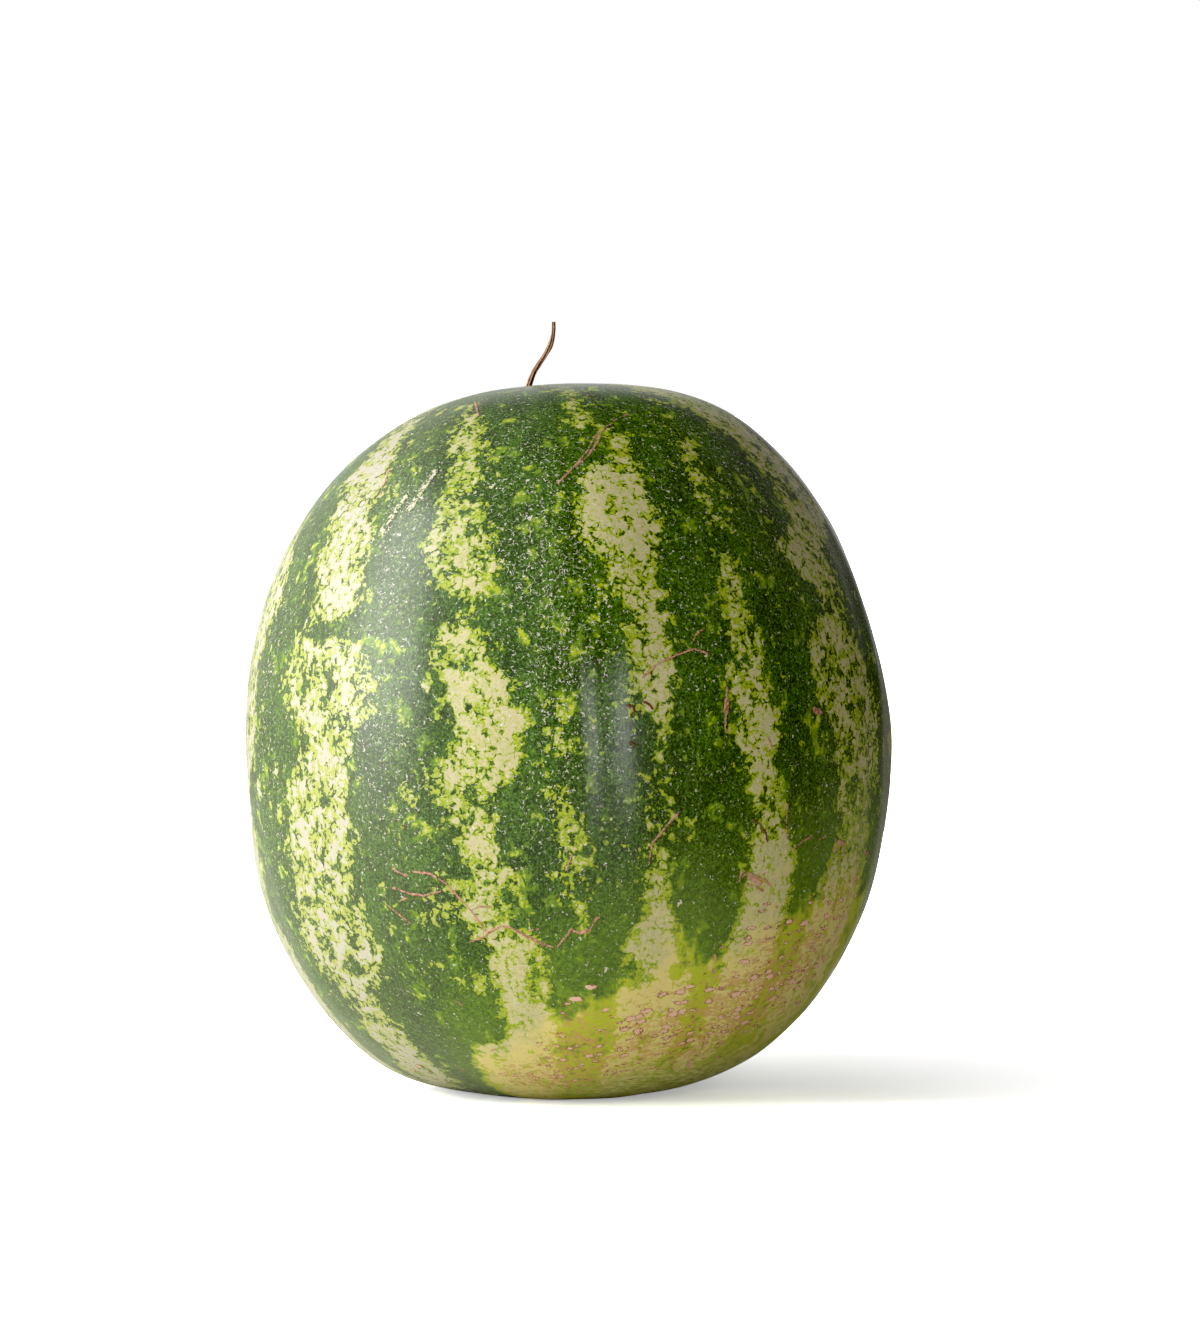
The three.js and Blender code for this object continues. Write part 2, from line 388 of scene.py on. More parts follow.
FRONT_PATCHES = spots(
    (-51.5, 42, 2.0, 2.0, 0.6), (-62.5, 95.5, 1.6, 2.0, 1.8), (-54.5, 92.5, 1.2, 1.6, 1.5),
    (-54.5, 100, 1.5, 1.5, 1.4), (-50, 84, 3.5, 2.0, -0.7), (-48, 88, 3.0, 2.4, -0.9),
    (-41, 70, 5.0, 1.6, -1.0), (-46.5, 54, 2.0, 2.4, -0.5), (-43, 78, 2.0, 2.0, -0.5),
    (-47, 99, 1.6, 2.2, -0.6), (-49, 114.5, 3.5, 1.2, -0.7), (-38, 114, 1.8, 2.0, -0.6),
    (-43.5, 126, 2.4, 1.8, -1.1), (-41, 122, 1.4, 1.6, -0.7), (-50.5, 122, 1.5, 2.2, -0.5),
    (-38.5, 137, 1.4, 1.0, 1.3), (-46.5, 148, 3.0, 1.2, -0.9), (-12.5, 54, 1.4, 3.0, -0.6),
    (-15.5, 64, 2.6, 1.2, -0.7), (-17.5, 86.5, 1.2, 1.8, 1.0), (-18.5, 81, 0.8, 1.0, 1.2),
    (-22, 98, 2.0, 1.4, 0.8), (-18, 112, 3.2, 2.0, 1.1), (-21.5, 116, 2.0, 3.0, 1.2),
    (-16.5, 116.5, 3.6, 1.8, 1.1), (-12.5, 113, 1.2, 2.4, 0.4), (-22.5, 125.5, 1.6, 1.2, 1.1),
    (-19, 128, 1.6, 1.6, 0.9), (-15, 128, 1.6, 2.2, 1.0), (-12.5, 125, 1.8, 1.6, 0.6),
    (-4.6, 127, 1.2, 4.2, -0.9), (-2.2, 131.5, 1.0, 1.4, -0.9), (-14, 136, 2.0, 1.6, -0.6),
    (-6.5, 113, 1.8, 1.4, 0.8), (4.8, 92, 1.4, 1.6, 0.5), (13.2, 84, 1.3, 2.2, 0.9),
    (13.5, 88, 1.0, 1.2, 0.8), (11, 69, 1.6, 1.6, 0.7), (12, 74, 1.6, 1.8, 0.6), (20.8, 64, 1.2, 3.0, -0.4),
    (21.5, 69, 1.4, 1.6, 0.6), (24, 73.5, 1.2, 1.4, 0.3), (14.5, 55, 0.8, 3.6, -0.5),
    (12.6, 127.5, 2.0, 2.6, -0.9), (14.5, 124, 1.5, 1.5, -0.4), (22, 128, 1.5, 1.6, -1.0),
    (37.5, 86, 1.4, 1.6, -0.3), (39.5, 82.5, 1.0, 1.4, 0.7), (41, 47, 1.0, 1.5, 0.5),
    (48.5, 79, 1.6, 1.0, 0.8), (52, 87, 1.4, 3.0, -0.4), (56, 94, 1.2, 2.6, -0.5), (61, 88, 1.0, 3.2, -0.5),
    (58, 101, 1.4, 2.8, -0.6), (57.5, 52, 1.6, 2.2, -0.4), (60, 72, 1.5, 3.0, -0.4),
)


@dataclass(frozen=True)
class HiddenStripes:
    """The rule that grows the stripes of the side that the front view doesn't show."""

    count: int = 7
    first: float = 86.0
    spacing: float = 28.6
    top: float = 14.0
    bottom: float = 166.0
    step: float = 4.0
    least_half: float = 2.2
    most_half: float = 10.5
    usual_half: float = 7.5
    usual_cream: float = 0.6
    wander: float = 1.5
    seed: int = 41

    def grow(self) -> list[Stripe]:
        """Returns the stripes, each a random walk of its middle, its width and its creaminess."""
        draw = random.Random(self.seed)
        return [self._one(draw, self.first + self.spacing * number, number) for number in range(self.count)]

    def _one(self, draw: random.Random, middle: float, number: int) -> Stripe:
        """Walks one stripe from the stem end to the blossom end.

        Args:
            draw: The seeded random numbers.
            middle: Longitude that the stripe keeps near.
            number: Its place in the row, for its name.

        Returns:
            The stripe.
        """
        stations = []
        lean, half, cream = draw.uniform(-2, 2), draw.uniform(5, 8), draw.uniform(0.4, 0.7)
        waist = draw.uniform(0.75, 1.15)
        for step in range(int((self.bottom - self.top) / self.step) + 1):
            lean = 0.8 * lean + draw.gauss(0, self.wander)
            half += 0.3 * (self.usual_half * waist - half) + draw.gauss(0, 1.9)
            half = min(max(half, self.least_half), self.most_half)
            cream += 0.2 * (self.usual_cream - cream) + draw.gauss(0, 0.2)
            cream = min(max(cream, 0.05), 1.0)
            side = draw.uniform(-0.35, 0.35) * half
            centre = middle + lean + side
            stations.append(Station(self.top + step * self.step, centre - half, centre + half, cream))
        return Stripe(f"hidden {number + 1}", tuple(stations))


class ScarKind(Enum):
    """What a scar is made of: its tone runs from whitish at 0 to dark brown at 1."""

    SCUFF = 0.0
    CALLUS = 0.45
    CORK = 0.62
    CRACK = 1.0


SCUFF, CALLUS, CORK, CRACK = ScarKind


@dataclass(frozen=True)
class Scar:
    """A raised corky line on the skin, through places given as longitude and polar angle."""

    kind: ScarKind
    half_width: float
    places: tuple[tuple[float, float], ...]


Traces = list[tuple[Scar, Array]]


def scar(kind: ScarKind, half_width: float, *places: tuple[float, float]) -> Scar:
    """Makes a scar through the places, with its half width in millimetres."""
    return Scar(kind, half_width, places)


FRONT_SCARS = (
    scar(CORK, 0.32, (5.5, 50), (9, 47), (12.5, 45), (16, 41.5), (18.5, 38.5), (21.5, 37)),
    scar(CORK, 0.30, (9, 47.2), (13, 43.6), (15.5, 40.5), (19, 38.2)),
    scar(CORK, 0.26, (22.5, 36.2), (25.5, 35.2), (28.8, 34.2)),
    scar(CORK, 0.48, (15.8, 82), (18.2, 80.2), (21.5, 79), (24.5, 78.2), (26.6, 79)),
    scar(CORK, 0.30, (24.4, 77.2), (25.2, 76), (26.2, 75.4)),
    scar(CALLUS, 0.42, (-27.5, 109.4), (-25, 110.6)),
    scar(CORK, 0.46, (-23.5, 110), (-20.5, 110.4), (-18, 112), (-16, 114.5), (-14.4, 116.4), (-12.2, 119.8)),
    scar(CORK, 0.40, (-14.4, 116.4), (-12.8, 115.8), (-11, 116)),
    scar(CORK, 0.46, (-28, 112.4), (-25, 113.4), (-22.4, 113.8), (-19.2, 113.2)),
    scar(CALLUS, 0.36, (-27.2, 114.6), (-25.6, 114)),
    scar(CORK, 0.42, (-30, 115.2), (-28.4, 116.4), (-26, 118.2)),
    scar(CORK, 0.42, (-15.5, 121.4), (-13, 120.8), (-11.2, 119.6)),
    scar(CORK, 0.62, (-11.8, 120), (-9.6, 119), (-7.4, 119.4), (-5, 120.8), (-2.4, 122), (-0.8, 122.4)),
    scar(CORK, 0.55, (0, 122.4), (1.6, 120.8), (2.6, 119.6)),
    scar(CALLUS, 0.85, (3.0, 120), (4.2, 120.3), (5.6, 119.8)),
    scar(CALLUS, 0.46, (5.6, 119.8), (6.8, 118.2), (7.6, 118)),
    scar(CALLUS, 0.44, (-4.6, 119.8), (-3, 119.6)),
    scar(CORK, 0.60, (29.4, 84.4), (29.2, 86), (29.0, 88), (28.8, 90)),
    scar(CORK, 1.50, (29.2, 86.2), (29.0, 87.9)),
    scar(CALLUS, 0.34, (28.7, 89.8), (28.9, 92), (28.4, 93.4)),
    scar(CORK, 0.42, (15.6, 110.4), (16.1, 107.4), (18.4, 105), (20.8, 102.8)),
    scar(CORK, 0.48, (2.2, 110.6), (3.2, 108.4)),
    scar(CRACK, 0.55, (13.0, 86.2), (13.8, 86.4), (14.0, 87.2), (13.4, 87.6)),
    scar(CRACK, 0.50, (15.6, 85.8), (16.4, 86.2), (17, 87)),
    scar(CRACK, 0.55, (13.1, 91.8), (13.7, 92.2)),
    scar(CORK, 1.70, (46.7, 88.3), (48.0, 88.7)),
    scar(CRACK, 0.50, (33.6, 104.6), (35, 105.4), (36.2, 106.8), (36.5, 108)),
    scar(CORK, 0.48, (40.4, 102.6), (40.2, 105), (40.8, 107.8)),
    scar(CORK, 0.46, (42.4, 109.4), (44.4, 108.4), (46.6, 107.8)),
    scar(CALLUS, 0.36, (47.4, 110), (49, 108.2), (50.8, 108)),
    scar(CALLUS, 0.34, (46.4, 104.2), (48.6, 103)),
    scar(CORK, 0.45, (32.0, 113.4), (33.4, 112.6), (35, 113.2), (36.6, 113.8), (38, 114.8)),
    scar(CORK, 0.42, (33.2, 114.4), (35, 114.8), (36.8, 115.6)),
    scar(CALLUS, 0.90, (31.8, 113.8), (32.0, 112.6)),
    scar(CALLUS, 1.70, (33.8, 113.4), (35.8, 114.4)),
    scar(CALLUS, 1.50, (54.0, 110.6), (54.8, 109.0), (56.2, 109.4)),
    scar(CALLUS, 0.75, (56.6, 109.4), (56.8, 111.6)),
    scar(CALLUS, 0.60, (29.8, 124.0), (30.6, 124.2)),
    scar(CALLUS, 1.00, (29.2, 125.4), (29.4, 126.2)),
    scar(CALLUS, 0.95, (29.4, 127.8), (29.7, 128.3)),
    scar(CORK, 0.55, (28.9, 130.2), (29.1, 131.0)),
    scar(CORK, 0.34, (57, 111), (55.4, 111)),
    scar(CRACK, 0.55, (53.2, 93.2), (54.2, 93.4)),
    scar(CORK, 0.45, (36.4, 92.4), (37, 94)),
    scar(SCUFF, 2.20, (-44.6, 60), (-42.4, 57), (-40.8, 53.5), (-39.4, 50), (-38.8, 47.4)),
    scar(CALLUS, 0.40, (-41.6, 55.4), (-40.4, 53), (-39.2, 50)),
    scar(CALLUS, 0.42, (-34, 46.5), (-34.6, 43), (-35.4, 40.6)),
    scar(SCUFF, 2.40, (-24.5, 51), (-23.2, 48.5), (-22, 46), (-20.8, 44)),
    scar(SCUFF, 2.60, (-30, 54.6), (-28.4, 51.6), (-26.4, 48.4)),
    scar(SCUFF, 0.42, (-41, 31.5), (-38, 31), (-35.4, 31.8)),
    scar(CRACK, 0.40, (-25.9, 101.6), (-25.4, 102)),
    scar(CRACK, 0.40, (-24.4, 102.6), (-23.8, 102.9)),
    scar(CORK, 0.40, (-20.6, 131.4), (-19.6, 132.2)),
    scar(CALLUS, 0.60, (-17.4, 141.4), (-16.2, 141.0)),
    scar(CORK, 1.10, (79.5, 99), (80, 103), (79.5, 108)),
    scar(CORK, 0.60, (22.4, 26), (24.6, 26.2)),
    scar(CORK, 0.50, (14.6, 27.6), (16.6, 27.6)),
    scar(CORK, 0.40, (-21, 22), (-17.5, 25.5), (-14.4, 29.8)),
)


@dataclass(frozen=True)
class HiddenScars:
    """The rule that scratches the side that the front view doesn't show."""

    count: int = 16
    first: float = 88.0
    last: float = 272.0
    highest: float = 35.0
    lowest: float = 135.0
    stride: tuple[float, float] = (2.2, 1.9)
    half_widths: tuple[float, float] = (0.3, 0.55)
    seed: int = 23

    def scratch(self) -> list[Scar]:
        """Draws short wandering scars.

        Returns:
            The scars.
        """
        draw = random.Random(self.seed)
        kinds = (CORK, CORK, CALLUS, SCUFF, CRACK)
        scars = []
        for _ in range(self.count):
            longitude, polar = draw.uniform(self.first, self.last), draw.uniform(self.highest, self.lowest)
            heading, places = draw.uniform(0, math.tau), []
            for _ in range(draw.randint(2, 5)):
                places.append((longitude, polar))
                heading += draw.gauss(0, 0.5)
                longitude += self.stride[0] * math.cos(heading)
                polar += self.stride[1] * math.sin(heading)
            scars.append(Scar(draw.choice(kinds), draw.uniform(*self.half_widths), tuple(places)))
        return scars


@dataclass(frozen=True)
class SkinMarks:
    """Everything that grew or rubbed on the skin, and where painted light and painted shade go on it, worked
    out for any place on it.

    Angles are in degrees and the stripes' soft edge is in millimetres.
    """

    stripes: tuple[Stripe, ...]
    patches: tuple[Spot, ...]
    dark: float = -1.0
    lime: float = -0.12
    cream: float = 0.95
    edge: float = 5.2
    patch_fade: tuple[float, float] = (0.45, 1.5)
    ground_border: tuple[tuple[float, float], ...] = (
        (-34, 172), (-30, 160), (-27, 151), (-22, 142.5), (-14, 141), (-7, 139), (-3, 134), (2, 132.5),
        (10, 130), (20, 124), (24, 124), (28, 126.5), (31, 125.5), (34, 123), (38, 121), (45, 119.5),
        (52, 117), (60, 114), (68, 116), (76, 122), (84, 131), (92, 146), (100, 165), (110, 175),
    )
    ground_blur: float = 4.5
    calm_lead: float = 22.0
    cork_spots: tuple[Spot, ...] = spots(
        (4, 137, 8, 5, 0.75), (2, 146, 12, 6, 0.75), (26, 139, 13, 8, 1.0), (31, 141, 5, 5, 0.6),
        (43, 128, 9, 8, 0.85), (42, 137, 12, 6, 0.9), (57, 127, 7, 8, 0.8), (61, 117, 5, 5, 0.7),
        (-6, 150, 16, 5, 0.7), (-50, 150, 10, 4, 0.3), (36, 114, 3.5, 2, 0.6),
    )
    fleck_spots: tuple[Spot, ...] = spots(
        (2, 58, 12, 26, 0.75), (5, 80, 9, 14, 0.4), (-27, 82, 7, 28, 0.6), (-26, 50, 8, 12, 0.5),
        (27, 62, 6, 30, 0.28), (43, 42, 9, 20, 0.36), (-58, 84, 8, 30, 0.4), (0, 104, 14, 12, 0.25),
        (112, 70, 16, 34, 0.5), (160, 60, 15, 28, 0.5), (-112, 66, 14, 36, 0.55), (-150, 90, 14, 26, 0.4),
    )
    least_flecks: float = 0.22
    # Where painted olive shade goes, low on the right of the front, lightened to stand in for the floor's
    # bounce light.
    painted_underside_fall: tuple[float, float] = (143, 154)
    painted_underside_front: tuple[float, float] = (-4, 26)
    painted_underside_back: tuple[float, float] = (100, 80)
    # Where painted light and a painted sheen wash the left side, which faces the key light.
    painted_lit_front: tuple[float, float] = (-8, -34)
    painted_lit_back: tuple[float, float] = (-150, -100)

    @staticmethod
    def _total(parts: Sequence[Spot], longitude: Array, polar: Array) -> Array:
        """Adds up soft spots at each place."""
        return sum(spot.strength * bell(spot.away(longitude, polar), 1.0) for spot in parts)

    def paleness(self, longitude: Array, polar: Array, girth: Array) -> Array:
        """Tells how pale the skin tends to be.

        Args:
            longitude: Degrees to the right of the front.
            polar: Degrees from the stem end.
            girth: Distance of the skin from the fruit's long axis, in millimetres.

        Returns:
            The paleness, from about -1 in a dark band to about 1 in a creamy stripe.
        """
        best = np.full(len(longitude), self.dark)
        for stripe in self.stripes:
            depth, cream = stripe.depth(longitude, polar, girth)
            inner = self.lime + (self.cream - self.lime) * cream
            best = np.maximum(best, self.dark + (inner - self.dark) * ease(depth, -self.edge, self.edge))
        for patch in self.patches:
            best += patch.strength * (1 - ease(patch.away(longitude, polar), *self.patch_fade))
        return np.clip(best, -1.5, 1.3)

    def into_ground(self, longitude: Array, polar: Array) -> Array:
        """Measures how far inside the yellow spot that lay on the ground each place is, in degrees."""
        border = np.array(self.ground_border)
        return polar - np.interp(longitude, border[:, 0], border[:, 1], left=400, right=400)

    def cork(self, longitude: Array, polar: Array) -> Array:
        """Tells how thickly corky specks stand, from 0 to 1."""
        return np.clip(self._total(self.cork_spots, longitude, polar), 0, 1)

    def flecks(self, longitude: Array, polar: Array) -> Array:
        """Tells how thickly small whitish flecks stand, from 0 to 1."""
        return np.clip(self.least_flecks + self._total(self.fleck_spots, longitude, polar), 0, 1)

    def shade(self, longitude: Array, polar: Array) -> Array:
        """Tells how strongly painted olive shade covers the skin low on the right of the front, from 0 to 1.
        """
        across = ease(longitude, *self.painted_underside_front) * ease(longitude, *self.painted_underside_back)
        return ease(polar, *self.painted_underside_fall) * across

    def bleach(self, longitude: Array) -> Array:
        """Tells how strongly painted light and a painted sheen wash the left side, which faces the key light,
        from 0 to 1.
        """
        return ease(longitude, *self.painted_lit_front) * ease(longitude, *self.painted_lit_back)


def colour(red: int, green: int, blue: int) -> Colour:
    """Turns a screen colour into the linear values that shaders take.

    Args:
        red: 0 to 255.
        green: 0 to 255.
        blue: 0 to 255.

    Returns:
        The linear red, green and blue, and an alpha of 1.
    """
    parts = [value / 255 for value in (red, green, blue)]
    linear = [part / 12.92 if part <= 0.04045 else ((part + 0.055) / 1.055) ** 2.4 for part in parts]
    return (*linear, 1.0)


class Sock:
    """A shader socket that adds Math nodes when it is reckoned with."""

    def __init__(self, pen: "NodePen", socket: bpy.types.NodeSocket) -> None:
        """Wraps the socket of a material that the pen draws."""
        self.pen = pen
        self.socket = socket

    def _maths(self, operation: str, *values: Any) -> "Sock":
        """Adds one Math node on the values."""
        return self.pen.add("ShaderNodeMath", {"operation": operation}, dict(enumerate(values)))

    def __add__(self, other: Any) -> "Sock":
        """Adds."""
        return self._maths("ADD", self, other)

    __radd__ = __add__

    def __sub__(self, other: Any) -> "Sock":
        """Subtracts."""
        return self._maths("SUBTRACT", self, other)

    def __rsub__(self, other: Any) -> "Sock":
        """Subtracts from a number."""
        return self._maths("SUBTRACT", other, self)

    def __mul__(self, other: Any) -> "Sock":
        """Multiplies."""
        return self._maths("MULTIPLY", self, other)

    __rmul__ = __mul__

    def __abs__(self) -> "Sock":
        """Drops the sign."""
        return self._maths("ABSOLUTE", self)

    def larger(self, other: Any) -> "Sock":
        """Takes the larger of two values."""
        return self._maths("MAXIMUM", self, other)

    def rise(self, low: float, high: float) -> "Sock":
        """Rises smoothly from 0 to 1, or falls where low is the larger.

        Args:
            low: The value that gives 0.
            high: The value that gives 1.

        Returns:
            The share, from 0 to 1.
        """
        flip = low > high
        settings = {"interpolation_type": "SMOOTHSTEP"}
        ends = {"To Min": 1.0, "To Max": 0.0} if flip else {"To Min": 0.0, "To Max": 1.0}
        span = {"From Min": min(low, high), "From Max": max(low, high)}
        return self.pen.add("ShaderNodeMapRange", settings, {"Value": self, **span, **ends})


class NodePen:
    """Draws the nodes of one material or world."""

    def __init__(self, tree: bpy.types.NodeTree) -> None:
        """Starts on an empty tree."""
        tree.nodes.clear()
        self.tree = tree

    def add(self, kind: str, settings: dict[str, Any], inputs: dict[Any, Any], output: str | int = 0) -> Sock:
        """Adds one node.

        Args:
            kind: Blender's name for the type of node.
            settings: The node's own settings, which are made first.
            inputs: A value or a link for each socket, by its name, identifier or number.
            output: The name, identifier or number of the output to return.

        Returns:
            The chosen output.
        """
        node = self.tree.nodes.new(kind)
        for name, value in settings.items():
            setattr(node, name, value)
        for key, value in inputs.items():
            socket = self._find(node.inputs, key)
            if isinstance(value, Sock):
                self.tree.links.new(value.socket, socket)
            else:
                socket.default_value = value
        return Sock(self, self._find(node.outputs, output)) if len(node.outputs) else Sock(self, None)

    @staticmethod
    def _find(sockets: Sequence[bpy.types.NodeSocket], key: str | int) -> bpy.types.NodeSocket:
        """Finds a socket.

        Args:
            sockets: The inputs or the outputs of a node.
            key: The socket's number, identifier or name.

        Returns:
            The socket.
        """
        if isinstance(key, int):
            return sockets[key]
        return next(socket for socket in sockets if key in (socket.identifier, socket.name))

    def mix(self, share: Any, first: Any, second: Any) -> Sock:
        """Mixes two colours."""
        inputs = {"Factor_Float": share, "A_Color": first, "B_Color": second}
        return self.add("ShaderNodeMix", {"data_type": "RGBA"}, inputs, "Result_Color")

    def vector(self, operation: str, inputs: dict[Any, Any]) -> Sock:
        """Adds one Vector Math node."""
        return self.add("ShaderNodeVectorMath", {"operation": operation}, inputs)

    def stretch(self, vector: Sock, scale: Triple) -> Sock:
        """Scales a vector along its axes."""
        return self.vector("MULTIPLY", {0: vector, 1: scale})

    def part(self, vector: Sock, axis: str) -> Sock:
        """Takes the X, the Y or the Z of a vector."""
        return self.add("ShaderNodeSeparateXYZ", {}, {"Vector": vector}, axis)

    def by_camera(self) -> Sock:
        """Gives 1 to the camera's own rays and 0 to all others."""
        return self.add("ShaderNodeLightPath", {}, {}, "Is Camera Ray")

    def noise(self, vector: Sock, size: float, detail: float, rough: float, twist: float = 0) -> Sock:
        """Adds noise.

        Args:
            vector: The place.
            size: The features' size, in the vector's own unit.
            detail: How many finer layers it has.
            rough: How strong the finer layers are.
            twist: How far it is distorted.

        Returns:
            The noise, which is about 0.5 on average.
        """
        fineness = {"Detail": detail, "Roughness": rough, "Distortion": twist}
        inputs = {"Vector": vector, "Scale": 1 / size, **fineness}
        return self.add("ShaderNodeTexNoise", {"noise_dimensions": "3D"}, inputs)

    def sway(self, vector: Sock, size: float, reach: float) -> Sock:
        """Shifts a vector to and fro by noise.

        Args:
            vector: The place.
            size: The features' size, in the vector's own unit.
            reach: About twice the furthest shift, in the same unit.

        Returns:
            The shifted vector.
        """
        inputs = {"Vector": vector, "Scale": 1 / size, "Detail": 1}
        shift = self.add("ShaderNodeTexNoise", {"noise_dimensions": "3D"}, inputs, "Color")
        centred = self.vector("SUBTRACT", {0: shift, 1: (0.5, 0.5, 0.5)})
        return self.vector("ADD", {0: vector, 1: self.vector("SCALE", {"Vector": centred, "Scale": reach})})

    def walls(self, vector: Sock, size: float) -> Sock:
        """Measures from the nearest wall of cells of about the given size, as a share of that size."""
        inputs = {"Vector": vector, "Scale": 1 / size}
        return self.add("ShaderNodeTexVoronoi", {"feature": "DISTANCE_TO_EDGE"}, inputs)

    def grains(self, vector: Sock, size: float) -> tuple[Sock, Sock, Sock]:
        """Scatters grains through space.

        Args:
            vector: The place.
            size: The space between them, in the vector's own unit.

        Returns:
            The distance to the nearest grain's middle, as a share of the size, and two random numbers for it.
        """
        inputs = {"Vector": vector, "Scale": 1 / size}
        away = self.add("ShaderNodeTexVoronoi", {"feature": "F1"}, inputs, "Distance")
        tint = Sock(self, self._find(away.socket.node.outputs, "Color"))
        first = self.add("ShaderNodeSeparateColor", {}, {"Color": tint}, "Red")
        return away, first, Sock(self, self._find(first.socket.node.outputs, "Green"))

    def reading(self, carried: "Carried", output: str = "Fac") -> Sock:
        """Reads a number that each point of the mesh carries, or a vector where output says so."""
        return self.add("ShaderNodeAttribute", {"attribute_name": carried.value}, {}, output)

    def bump(self, height: Sock, distance: float) -> Sock:
        """Turns a height into a normal; the distance is the height of 1, in metres."""
        return self.add("ShaderNodeBump", {}, {"Height": height, "Distance": distance, "Strength": 1.0})

    def finish(self, **sockets: Any) -> None:
        """Ends the material with a principled shader.

        Args:
            **sockets: A value or a link for each socket, by its name with _ for a space.
        """
        inputs = {name.replace("_", " "): value for name, value in sockets.items()}
        shader = self.add("ShaderNodeBsdfPrincipled", {}, inputs)
        self.add("ShaderNodeOutputMaterial", {}, {"Surface": shader})


def start_material(name: str) -> tuple[bpy.types.Material, NodePen]:
    """Makes a material and the pen that draws it.

    Args:
        name: The material's name.

    Returns:
        The material, and the pen on its empty tree.
    """
    material = bpy.data.materials.new(name)
    material.use_nodes = True
    return material, NodePen(material.node_tree)


class Carried(Enum):
    """The readings that the meshes carry for their materials."""

    ALONG = "along"
    PALENESS = "paleness"
    GROUND = "ground"
    CALM = "calm"
    # The next two carry where painted shade and painted light go on the skin.
    SHADE = "shade"
    BLEACH = "bleach"
    CORK = "cork"
    FLECKS = "flecks"
    SCAR = "scar"
    TONE = "scar_tone"
    RUN = "run"
    GROOVE = "groove"


class Weave(NamedTuple):
    """The places, noises and readings that the layers of the rind's material share."""

    place: Sock
    along: Sock
    lobes: Sock
    tatters: Sock
    crumbs: Sock
    grain: Sock
    mottle: Sock
    ground: Sock
    yellow: Sock
    calm: Sock
    # Where painted light and a painted sheen go on the left side.
    bleach: Sock


